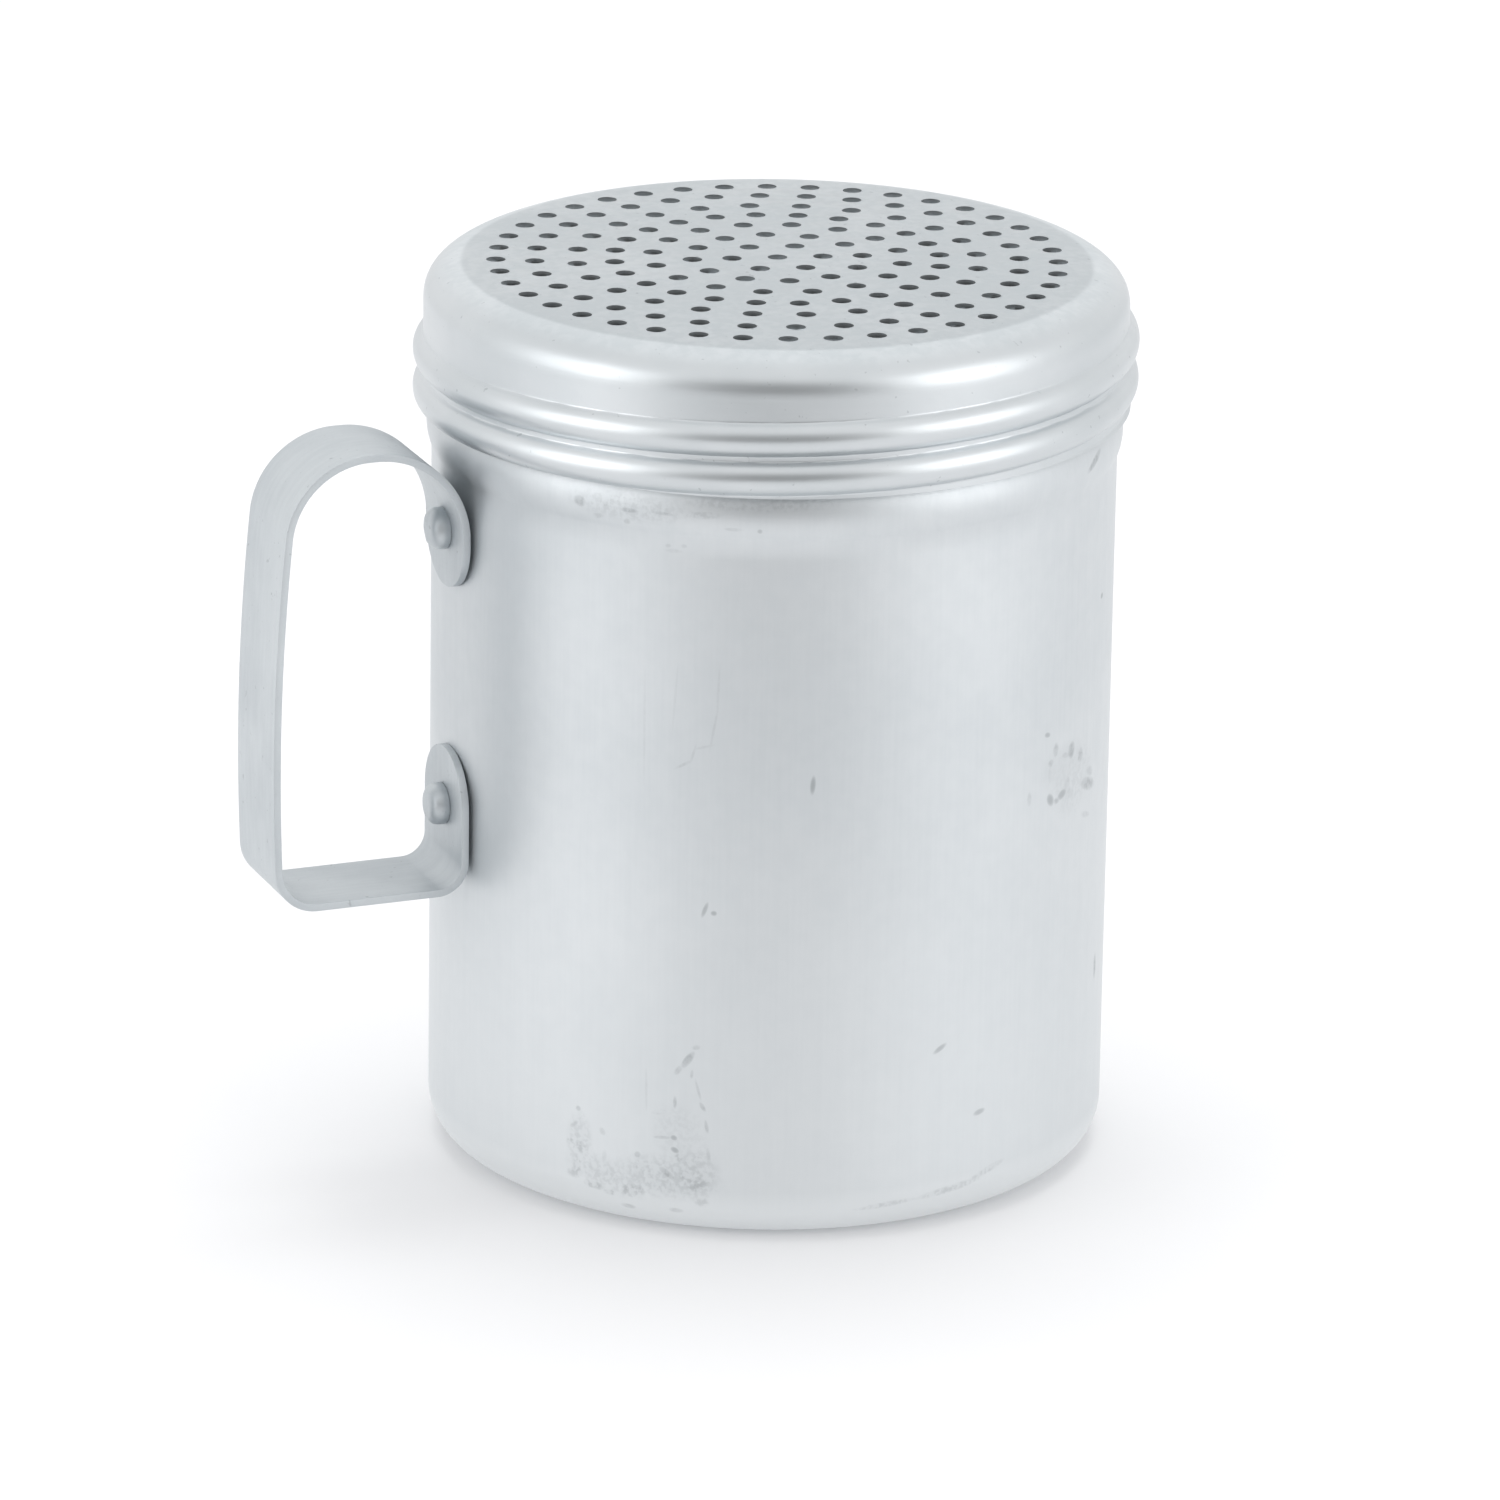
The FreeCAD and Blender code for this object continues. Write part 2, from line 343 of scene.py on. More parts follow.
class Tree:
    """A node tree that is built from expressions."""

    def __init__(self, tree: bpy.types.NodeTree) -> None:
        """Clear a node tree and wrap it."""
        self.tree = tree
        self.tree.nodes.clear()

    def node(self, kind: str, settings: dict, values: dict) -> bpy.types.Node:
        """Add a node.

        Args:
            kind: The node's type.
            settings: Attributes of the node, set before its sockets.
            values: Values or links of its input sockets, by name or by place.

        Returns:
            The new node.
        """
        made = self.tree.nodes.new(kind)
        for name, value in settings.items():
            setattr(made, name, value)
        for key, value in values.items():
            socket = made.inputs[key]
            if isinstance(value, Signal):
                value = value.socket
            if isinstance(value, bpy.types.NodeSocket):
                self.tree.links.new(value, socket)
            else:
                socket.default_value = value
        return made

    def math(self, operation: str, *values: Signal | float) -> Signal:
        """Return the result of a Math node."""
        made = self.node("ShaderNodeMath", {"operation": operation}, dict(enumerate(values)))
        return Signal(self, made.outputs[0])

    def number(self, value: float) -> Signal:
        """Return a plain number as a signal.

        Args:
            value: The number.

        Returns:
            The signal.
        """
        made = self.node("ShaderNodeValue", {}, {})
        made.outputs[0].default_value = value
        return Signal(self, made.outputs[0])

    def dot(self, vector: bpy.types.NodeSocket, direction: Sequence[float]) -> Signal:
        """Return the dot product of a vector and a fixed direction.

        Args:
            vector: The vector.
            direction: The fixed direction.

        Returns:
            The product.
        """
        made = self.node(
            "ShaderNodeVectorMath", {"operation": "DOT_PRODUCT"}, {0: vector, 1: tuple(direction)}
        )
        return Signal(self, made.outputs["Value"])


class Finish(Tree):
    """A material under construction, with the patterns that metal finishes share."""

    def __init__(self, name: str) -> None:
        """Start a material.

        Args:
            name: The material's name.
        """
        self.material = bpy.data.materials.new(name)
        self.material.use_nodes = True
        super().__init__(self.material.node_tree)
        self.point = self.node("ShaderNodeTexCoord", {}, {}).outputs["Object"]

    def placed(
        self, scale: tuple[float, float, float] = (1, 1, 1), turn: float = 0.0
    ) -> bpy.types.NodeSocket:
        """Return the object's point after a scale and a turn about Z.

        Args:
            scale: The scale along each axis.
            turn: The turn, in radians.

        Returns:
            The placed point.
        """
        made = self.node(
            "ShaderNodeMapping",
            {},
            {"Vector": self.point, "Rotation": (0.0, 0.0, turn), "Scale": scale},
        )
        return made.outputs["Vector"]

    def parts(self, vector: bpy.types.NodeSocket) -> tuple[Signal, Signal, Signal]:
        """Return a vector's three numbers."""
        made = self.node("ShaderNodeSeparateXYZ", {}, {"Vector": vector})
        return tuple(Signal(self, made.outputs[axis]) for axis in "XYZ")

    def grain(
        self, scale: float, detail: float, vector: bpy.types.NodeSocket | None = None
    ) -> Signal:
        """Return a noise pattern.

        Args:
            scale: Cells per metre.
            detail: How many finer layers it has.
            vector: The point to read, or the object's own point.

        Returns:
            A value around 0.5.
        """
        made = self.node(
            "ShaderNodeTexNoise",
            {},
            {"Vector": vector or self.point, "Scale": scale, "Detail": detail},
        )
        return Signal(self, made.outputs["Fac"])

    def mix(
        self,
        share: Signal,
        low: Sequence[float] | bpy.types.NodeSocket,
        high: Sequence[float] | bpy.types.NodeSocket,
    ) -> bpy.types.NodeSocket:
        """Return a colour between two colours.

        Args:
            share: 0 for the low colour and 1 for the high one.
            low: One colour.
            high: The other colour.

        Returns:
            The mixed colour.
        """
        colours = [
            (*value, 1.0) if isinstance(value, tuple) else value for value in (low, high)
        ]
        made = self.node(
            "ShaderNodeMix",
            {"data_type": "RGBA", "clamp_factor": True},
            {"Factor": share, 6: colours[0], 7: colours[1]},
        )
        return made.outputs[2]

    def bump(
        self, height: Signal, depth: float, under: bpy.types.NodeSocket | None = None
    ) -> bpy.types.NodeSocket:
        """Return a normal that is bumped by a pattern, over another bump.

        Args:
            height: The pattern.
            depth: How deep the pattern is.
            under: The bump that lies under it, if any.

        Returns:
            The bumped normal.
        """
        values = {"Height": height, "Distance": depth, "Strength": 1.0}
        if under is not None:
            values["Normal"] = under
        return self.node("ShaderNodeBump", {}, values).outputs["Normal"]

    def metal(
        self,
        colour: bpy.types.NodeSocket,
        roughness: Signal,
        normal: bpy.types.NodeSocket,
        metallic: Signal,
    ) -> bpy.types.Material:
        """Finish the material as metal.

        Args:
            colour: The base colour.
            roughness: The roughness over the surface.
            normal: The bumped normal.
            metallic: How metallic the surface is, less where it is oxidised.

        Returns:
            The finished material.
        """
        shader = self.node(
            "ShaderNodeBsdfPrincipled",
            {},
            {
                "Base Color": colour,
                "Roughness": roughness,
                "Normal": normal,
                "Metallic": metallic,
            },
        )
        self.node("ShaderNodeOutputMaterial", {}, {"Surface": shader.outputs["BSDF"]})
        return self.material


class Kind(Enum):
    """What a mark is; the value is the share of it that the metal's grain breaks up."""

    SPOT = 0.0
    SMEAR = 0.4
    SCUFF = 0.75


@dataclass(frozen=True)
class Mark:
    """One stain, scuff or scratch on the cup's wall, placed from its front line.

    Attributes:
        azimuth: Degrees round from the front line, positive towards +X.
        height: Height over the base, in millimetres.
        length: Half its length, in millimetres.
        width: Half its width, in millimetres.
        tilt: Degrees from level.
        strength: How dark it is, from 0 to 1.
        kind: How broken it is.
    """

    azimuth: float
    height: float
    length: float
    width: float
    tilt: float
    strength: float
    kind: Kind

    def rows(self, wall_radius: float) -> tuple[tuple[float, float, float], ...]:
        """Return two rows that turn (along, up, 1) into places on the mark, in its half sizes.

        Args:
            wall_radius: The wall's radius.

        Returns:
            The row for the mark's length and the row for its width.
        """
        along, up = math.radians(self.azimuth) * wall_radius, self.height * MM
        tilt = math.radians(self.tilt)
        sides = (
            (math.cos(tilt), math.sin(tilt), self.length * MM),
            (-math.sin(tilt), math.cos(tilt), self.width * MM),
        )
        return tuple(
            (side / half, rise / half, -(side * along + rise * up) / half)
            for side, rise, half in sides
        )


WALL_MARKS = (
    Mark(-16.5, 6.4, 5.2, 2.2, 0, 0.24, Kind.SCUFF),
    Mark(-26.5, 5.6, 4.6, 1.7, -12, 0.20, Kind.SCUFF),
    Mark(-11.5, 7.0, 2.4, 2.6, 0, 0.26, Kind.SCUFF),
    Mark(-32.2, 8.4, 1.4, 3.2, 0, 0.20, Kind.SCUFF),
    Mark(-14.0, 11.0, 2.6, 3.4, 20, 0.10, Kind.SCUFF),
    Mark(61.5, 44.0, 4.4, 3.6, 0, 0.12, Kind.SCUFF),
    Mark(-24.0, 76.6, 6.4, 1.4, 0, 0.20, Kind.SCUFF),
    Mark(-32.5, 12.1, 0.28, 0.30, 80, 0.30, Kind.SMEAR),
    Mark(-33.3, 10.3, 0.65, 0.25, 40, 0.30, Kind.SMEAR),
    Mark(-33.9, 8.4, 0.51, 0.38, 13, 0.34, Kind.SCUFF),
    Mark(-31.9, 8.0, 0.77, 0.73, -17, 0.34, Kind.SCUFF),
    Mark(-32.6, 6.0, 1.32, 0.49, 85, 0.36, Kind.SCUFF),
    Mark(-32.8, 5.2, 1.12, 0.54, 13, 0.30, Kind.SCUFF),
    Mark(-27.8, 10.2, 0.40, 0.31, -55, 0.24, Kind.SMEAR),
    Mark(-27.4, 7.4, 0.77, 0.29, 85, 0.18, Kind.SMEAR),
    Mark(-29.3, 4.3, 1.12, 0.46, -6, 0.40, Kind.SCUFF),
    Mark(-26.4, 3.8, 0.66, 0.34, -4, 0.38, Kind.SCUFF),
    Mark(-22.2, 4.5, 1.44, 0.76, 9, 0.42, Kind.SCUFF),
    Mark(-21.3, 8.4, 0.33, 0.32, 9, 0.42, Kind.SMEAR),
    Mark(-21.0, 7.1, 0.76, 0.43, 86, 0.34, Kind.SCUFF),
    Mark(-18.7, 6.3, 0.96, 0.33, 3, 0.34, Kind.SCUFF),
    Mark(-16.1, 6.8, 1.01, 0.36, -36, 0.50, Kind.SMEAR),
    Mark(-16.4, 5.5, 1.49, 0.97, 7, 0.26, Kind.SCUFF),
    Mark(-16.9, 10.6, 0.95, 0.19, 4, 0.30, Kind.SMEAR),
    Mark(-15.0, 10.7, 0.36, 0.28, -15, 0.44, Kind.SPOT),
    Mark(-14.8, 9.4, 0.45, 0.29, -26, 0.48, Kind.SPOT),
    Mark(-14.1, 8.6, 0.52, 0.54, 6, 0.30, Kind.SCUFF),
    Mark(-14.9, 14.5, 0.65, 0.19, 89, 0.36, Kind.SMEAR),
    Mark(-12.8, 19.2, 0.99, 0.36, 55, 0.50, Kind.SMEAR),
    Mark(-14.4, 18.0, 0.55, 0.30, 54, 0.28, Kind.SMEAR),
    Mark(-12.1, 17.7, 0.43, 0.16, 86, 0.26, Kind.SMEAR),
    Mark(-11.4, 20.6, 0.42, 0.25, 15, 0.24, Kind.SMEAR),
    Mark(-11.0, 16.1, 1.05, 0.15, -75, 0.26, Kind.SMEAR),
    Mark(-10.2, 14.3, 0.51, 0.21, -59, 0.34, Kind.SMEAR),
    Mark(-9.5, 12.2, 0.64, 0.19, -80, 0.36, Kind.SMEAR),
    Mark(-9.1, 8.9, 0.96, 0.25, -84, 0.24, Kind.SMEAR),
    Mark(-13.3, 6.7, 0.71, 0.55, -15, 0.38, Kind.SCUFF),
    Mark(-11.1, 6.0, 1.34, 0.97, 5, 0.42, Kind.SCUFF),
    Mark(-10.1, 4.1, 0.72, 0.54, 5, 0.22, Kind.SCUFF),
    Mark(-23.1, 2.5, 0.76, 0.28, -2, 0.30, Kind.SMEAR),
    Mark(-14.6, 2.8, 0.73, 0.27, -2, 0.26, Kind.SMEAR),
    Mark(-17.4, 13.3, 0.86, 0.32, 12, 0.14, Kind.SCUFF),
    Mark(-19.9, 15.5, 2.14, 0.14, 91, 0.12, Kind.SMEAR),
    Mark(53.1, 49.8, 0.47, 0.26, -14, 0.40, Kind.SPOT),
    Mark(55.7, 47.8, 0.74, 0.47, 89, 0.34, Kind.SMEAR),
    Mark(54.3, 46.6, 0.42, 0.49, 89, 0.30, Kind.SMEAR),
    Mark(54.2, 45.4, 1.08, 0.41, 93, 0.16, Kind.SMEAR),
    Mark(60.9, 46.9, 0.87, 0.71, 80, 0.48, Kind.SMEAR),
    Mark(59.0, 46.7, 0.87, 0.32, -16, 0.32, Kind.SMEAR),
    Mark(64.4, 45.8, 0.77, 0.59, 79, 0.42, Kind.SMEAR),
    Mark(68.0, 42.1, 1.90, 0.66, -17, 0.42, Kind.SMEAR),
    Mark(68.7, 43.3, 0.51, 0.99, 63, 0.24, Kind.SMEAR),
    Mark(59.6, 43.6, 0.82, 0.67, 61, 0.22, Kind.SMEAR),
    Mark(58.0, 42.7, 0.83, 0.48, 12, 0.44, Kind.SPOT),
    Mark(56.3, 42.3, 0.54, 0.33, -4, 0.36, Kind.SMEAR),
    Mark(54.4, 42.7, 0.50, 0.75, 38, 0.46, Kind.SPOT),
    Mark(60.7, 42.4, 0.61, 0.94, 71, 0.20, Kind.SMEAR),
    Mark(48.6, 43.7, 0.70, 0.33, 92, 0.18, Kind.SMEAR),
    Mark(67.3, 38.9, 1.10, 0.33, -17, 0.18, Kind.SMEAR),
    Mark(59.1, 45.6, 2.38, 4.36, 93, 0.10, Kind.SMEAR),
    Mark(-32.8, 76.4, 0.68, 0.56, -8, 0.46, Kind.SMEAR),
    Mark(-28.4, 76.6, 1.13, 0.35, 6, 0.34, Kind.SCUFF),
    Mark(-29.5, 75.2, 0.81, 0.31, 9, 0.22, Kind.SCUFF),
    Mark(-23.8, 76.3, 1.02, 0.27, 0, 0.46, Kind.SMEAR),
    Mark(-24.2, 75.1, 0.38, 0.31, 8, 0.28, Kind.SMEAR),
    Mark(-18.1, 76.4, 1.24, 0.21, -2, 0.36, Kind.SMEAR),
    Mark(-11.4, 76.6, 1.81, 0.36, 2, 0.24, Kind.SCUFF),
    Mark(-2.2, 75.2, 0.24, 0.23, 2, 0.32, Kind.SPOT),
    Mark(-6.4, 75.3, 0.89, 0.19, -1, 0.18, Kind.SMEAR),
    Mark(-2.3, 77.9, 7.87, 0.72, 1, 0.24, Kind.SCUFF),
    Mark(-3.1, 78.3, 4.92, 0.51, 2, 0.22, Kind.SMEAR),
    Mark(-17.3, 73.0, 0.31, 0.21, 6, 0.18, Kind.SMEAR),
    Mark(-14.6, 73.1, 0.31, 0.21, 5, 0.18, Kind.SMEAR),
    Mark(-16.3, 72.5, 0.82, 0.21, 1, 0.14, Kind.SMEAR),
    Mark(65.2, 76.8, 1.7, 0.40, 24, 0.50, Kind.SMEAR),
    Mark(7.1, 48.7, 0.9, 0.26, 86, 0.50, Kind.SPOT),
    Mark(-10.3, 35.3, 0.8, 0.22, 70, 0.40, Kind.SPOT),
    Mark(-8.8, 35.0, 0.3, 0.25, 0, 0.45, Kind.SPOT),
    Mark(75.2, 20.9, 1.3, 0.5, 90, 0.46, Kind.SMEAR),
    Mark(30.3, 19.4, 0.8, 0.27, 30, 0.40, Kind.SPOT),
    Mark(38.6, 11.6, 0.7, 0.30, 10, 0.38, Kind.SPOT),
    Mark(73.0, 61.2, 0.4, 0.3, 0, 0.45, Kind.SPOT),
    Mark(-14.2, 50.4, 1.0, 0.16, 30, 0.18, Kind.SMEAR),
    Mark(-12.6, 51.6, 1.0, 0.14, 74, 0.16, Kind.SMEAR),
    Mark(-10.8, 52.4, 1.1, 0.14, 16, 0.14, Kind.SMEAR),
    Mark(-9.2, 54.4, 2.2, 0.14, 80, 0.14, Kind.SMEAR),
    Mark(-8.6, 58.4, 2.4, 0.14, 88, 0.11, Kind.SMEAR),
    Mark(-15.8, 57.0, 3.4, 0.14, 86, 0.10, Kind.SMEAR),
    Mark(-21.0, 54.0, 5.4, 0.14, 90, 0.09, Kind.SMEAR),
    Mark(33.0, 4.0, 3.6, 0.4, 6, 0.26, Kind.SCUFF),
    Mark(40.5, 5.0, 2.2, 0.35, 14, 0.28, Kind.SCUFF),
    Mark(21.0, 3.4, 3.0, 0.3, 4, 0.22, Kind.SCUFF),
    Mark(150.0, 30.0, 3.0, 0.22, 60, 0.28, Kind.SMEAR),
    Mark(120.0, 60.0, 2.2, 0.20, 20, 0.26, Kind.SMEAR),
    Mark(-150.0, 22.0, 2.8, 0.20, -40, 0.26, Kind.SMEAR),
    Mark(165.0, 8.0, 3.0, 1.6, 0, 0.32, Kind.SCUFF),
    Mark(-120.0, 70.0, 1.8, 0.8, 10, 0.28, Kind.SCUFF),
)


@dataclass(frozen=True)
class DrawnMetal:
    """Satin metal of the cup: drawn upright, greyed by handling, with stains and scuffs, and
    lightened towards its foot by a painted reflection of the floor.
    """

    clean: tuple[float, float, float] = (0.684, 0.711, 0.730)
    dull: tuple[float, float, float] = (0.621, 0.653, 0.675)
    # Painted reflection: this lighter colour stands in for the pale floor that the low wall
    # mirrors.
    rub_and_sheen: tuple[float, float, float] = (0.762, 0.787, 0.802)
    stain: tuple[float, float, float] = (0.240, 0.262, 0.275)
    roughness: float = 0.48
    wall_radius: float = 34.925 * MM
    # The two bands below place that painted reflection: in full over the lowest 2 mm, fading out
    # by 8 mm, and up to 0.4 of it from 56 mm down.
    foot_sheen_band: tuple[float, float] = (8.0 * MM, 2.0 * MM)
    floor_sheen_band: tuple[float, float, float] = (56.0 * MM, 8.0 * MM, 0.4)
    stroke_cells: float = 2600
    streak_cells: float = 420
    cloud_cells: float = 38
    mottle_cells: float = 520
    pit_cells: float = 5200
    break_cells: float = 1900
    stroke_stretch: tuple[float, float, float] = (1.0, 1.0, 0.03)
    streak_stretch: tuple[float, float, float] = (1.0, 1.0, 0.06)
    mark_edge: float = 1.7

    def marks(self, finish: Finish) -> Signal:
        """Return how strongly each point of the wall is marked.

        Args:
            finish: The material under construction.

        Returns:
            A value from 0 to 1.
        """
        around_x, around_y, height = finish.parts(finish.placed(turn=-FRONT_AZIMUTH))
        along = around_y.math("ARCTAN2", around_x) * self.wall_radius
        flat = finish.node("ShaderNodeCombineXYZ", {}, {"X": along, "Y": height, "Z": 1.0})
        wall = flat.outputs["Vector"]
        broken = finish.grain(self.break_cells, 4.0).ramp(0.40, 0.64)
        layers = {kind: finish.number(0.0) for kind in Kind}
        for mark in WALL_MARKS:
            along_row, across_row = mark.rows(self.wall_radius)
            lengthwise = finish.dot(wall, along_row)
            crosswise = finish.dot(wall, across_row)
            reach = crosswise.math("MULTIPLY_ADD", crosswise, lengthwise * lengthwise)
            mask = reach.ramp(self.mark_edge, 0.0, mark.strength)
            layers[mark.kind] = layers[mark.kind].most(mask)
        total = finish.number(0.0)
        for kind, layer in layers.items():
            total = total.most(layer * (broken * kind.value + (1 - kind.value)))
        return total

    def build(self) -> bpy.types.Material:
        """Return the cup's finish.

        Returns:
            The finished material.
        """
        finish = Finish("drawn_cup_metal")
        _, _, height = finish.parts(finish.point)
        strokes = finish.grain(self.stroke_cells, 2.0, finish.placed(self.stroke_stretch))
        streaks = finish.grain(self.streak_cells, 3.0, finish.placed(self.streak_stretch))
        clouds = finish.grain(self.cloud_cells, 4.0)
        mottle = finish.grain(self.mottle_cells, 4.0)
        pits = finish.grain(self.pit_cells, 2.0)
        marks = self.marks(finish)
        # Painted reflection of the floor: the colour turns lighter towards the foot.
        floor_sheen = height.ramp(*self.foot_sheen_band).most(height.ramp(*self.floor_sheen_band))
        dull_share = clouds.ramp(0.34, 0.66) * 0.5 + streaks.ramp(0.3, 0.7) * 0.14
        dull_share = dull_share + mottle.ramp(0.3, 0.7) * 0.28 + strokes.ramp(0.3, 0.7) * 0.08
        colour = finish.mix(dull_share, self.clean, self.dull)
        colour = finish.mix(floor_sheen, colour, self.rub_and_sheen)
        colour = finish.mix(marks, colour, self.stain)
        roughness = (clouds - 0.5) * 0.10 + (strokes - 0.5) * 0.10 + marks * 0.15
        normal = finish.bump(clouds, 0.00022)
        normal = finish.bump(streaks, 0.000004, normal)
        normal = finish.bump(mottle, 0.000012, normal)
        normal = finish.bump(strokes, 0.000003, normal)
        normal = finish.bump(pits, 0.000003, normal)
        return finish.metal(colour, roughness + self.roughness, normal, 0.95 - dull_share * 0.12)


@dataclass(frozen=True)
class SpunMetal:
    """Brighter metal of the lid: spun round its edge and thread, rubbed matt on its top, where its
    colour also carries painted shade.
    """

    bright: tuple[float, float, float] = (0.676, 0.704, 0.723)
    dull: tuple[float, float, float] = (0.543, 0.581, 0.602)
    stain: tuple[float, float, float] = (0.270, 0.290, 0.305)
    side_roughness: float = 0.38
    top_roughness: float = 0.46
    top_height: float = 92.2 * MM
    crown_height: float = 93.4 * MM
    crown_bow: float = 1119.6 * MM
    edge_below: float = 0.8 * MM
    edge_above: float = 0.7 * MM
    bore_depths: tuple[float, float] = (0.06 * MM, 0.16 * MM)
    line_cells: float = 2400
    band_cells: float = 300
    cloud_cells: float = 60
    rub_cells: float = 900
    pit_cells: float = 4200
    speck_cells: float = 1300
    line_stretch: tuple[float, float, float] = (0.03, 0.03, 1.0)
    band_stretch: tuple[float, float, float] = (0.05, 0.05, 1.0)

    def build(self) -> bpy.types.Material:
        """Return the lid's finish.

        Returns:
            The finished material.
        """
        finish = Finish("spun_lid_metal")
        across, along, height = finish.parts(finish.point)
        top = height.ramp(self.top_height - self.edge_below, self.top_height + self.edge_above)
        depth = self.crown_height - (across * across + along * along) / (2 * self.crown_bow)
        bores = (depth - height).ramp(*self.bore_depths) * top
        lines = finish.grain(self.line_cells, 2.0, finish.placed(self.line_stretch))
        bands = finish.grain(self.band_cells, 2.0, finish.placed(self.band_stretch))
        clouds = finish.grain(self.cloud_cells, 4.0)
        rub_and_sheen = finish.grain(self.rub_cells, 4.0)
        pits = finish.grain(self.pit_cells, 2.0)
        specks = finish.grain(self.speck_cells, 2.0).ramp(0.70, 0.76)
        # Painted shade: the flat top's colour is darkened as a whole; the rub pattern over it is
        # wear.
        dull_share = clouds.ramp(0.35, 0.65) * 0.4 + top * 0.45 + rub_and_sheen.ramp(0.35, 0.65) * top * 0.35
        dull_share = dull_share + bands.ramp(0.3, 0.7) * 0.15 * (1 - top)
        colour = finish.mix(dull_share, self.bright, self.dull)
        colour = finish.mix(specks * 0.30, colour, self.stain)
        base = top * (self.top_roughness - self.side_roughness) + self.side_roughness
        roughness = base + (clouds - 0.5) * 0.08 + (lines - 0.5) * 0.06 + specks * 0.1
        normal = finish.bump(clouds, 0.00012)
        normal = finish.bump(lines * (1 - top), 0.000004, normal)
        normal = finish.bump(rub_and_sheen * top, 0.000014, normal)
        normal = finish.bump(pits, 0.000003, normal)
        metallic = 0.98 - dull_share * 0.10
        return finish.metal(colour, roughness, normal, metallic * (1 - bores * 0.6))


@dataclass(frozen=True)
class StrapMetal:
    """Matt metal of the handle and its rivets, tumbled, with grey handling marks."""

    name: str
    clean: tuple[float, float, float] = (0.640, 0.675, 0.695)
    dull: tuple[float, float, float] = (0.540, 0.575, 0.600)
    stain: tuple[float, float, float] = (0.260, 0.280, 0.300)
    roughness: float = 0.52
    cloud_cells: float = 90
    line_cells: float = 1600
    pit_cells: float = 3800
    nick_cells: float = 1100
    line_stretch: tuple[float, float, float] = (0.12, 1.0, 0.12)

    def build(self) -> bpy.types.Material:
        """Return the finish of the strap or of a rivet.

        Returns:
            The finished material.
        """
        finish = Finish(self.name)
        clouds = finish.grain(self.cloud_cells, 4.0)
        lines = finish.grain(self.line_cells, 2.0, finish.placed(self.line_stretch))
        pits = finish.grain(self.pit_cells, 3.0)
        nicks = finish.grain(self.nick_cells, 2.0).ramp(0.69, 0.75)
        dull_share = clouds.ramp(0.3, 0.7) * 0.6 + lines.ramp(0.3, 0.7) * 0.25 + pits * 0.2
        colour = finish.mix(dull_share, self.clean, self.dull)
        colour = finish.mix(nicks * 0.35, colour, self.stain)
        roughness = (clouds - 0.5) * 0.12 + (pits - 0.5) * 0.08 + self.roughness
        normal = finish.bump(clouds, 0.00008)
        normal = finish.bump(lines, 0.000006, normal)
        normal = finish.bump(pits - nicks, 0.000006, normal)
        return finish.metal(colour, roughness, normal, 0.90 - dull_share * 0.14)


# The thread's line, shared by the cup's neck and the lid's skirt


@dataclass(frozen=True)
class ThreadLine:
    """A right-hand helix and the round section that runs along it."""

    pitch: float = 4.0 * MM
    start_height: float = 76.1 * MM
    start_angle: float = -170.0
    softness: float = 0.16 * MM

    def height_at(self, angle: float) -> float:
        """Return the line's height at an azimuth, in degrees, counted on over the turns."""
        return self.start_height + self.pitch * (angle - self.start_angle) / 360

    def radius_at(
        self,
        azimuth: float,
        height: float,
        plain: float,
        section: float,
        reach: tuple[float, float],
        middle: Callable[[float], float],
    ) -> float:
        """Return the radius of a plain wall with the thread's ridge on it.

        Args:
            azimuth: The point's azimuth, in degrees.
            height: The point's height.
            plain: The plain wall's radius.
            section: The radius of the ridge's round section.
            reach: The first and last azimuth of the ridge, in degrees over the turns.
            middle: The radius of the section's middle at an azimuth over the turns.

        Returns:
            The wall's radius at that point.
        """
        radius = plain
        first = math.floor((reach[0] - azimuth) / 360)
        last = math.ceil((reach[1] - azimuth) / 360)
        for turn in range(first, last + 1):
            angle = azimuth + 360 * turn
            if not reach[0] <= angle <= reach[1]:
                continue
            offset = height - self.height_at(angle)
            if abs(offset) < section:
                proud = middle(angle) + math.sqrt(section**2 - offset**2)
                radius = soft_max(radius, proud, self.softness)
        return radius


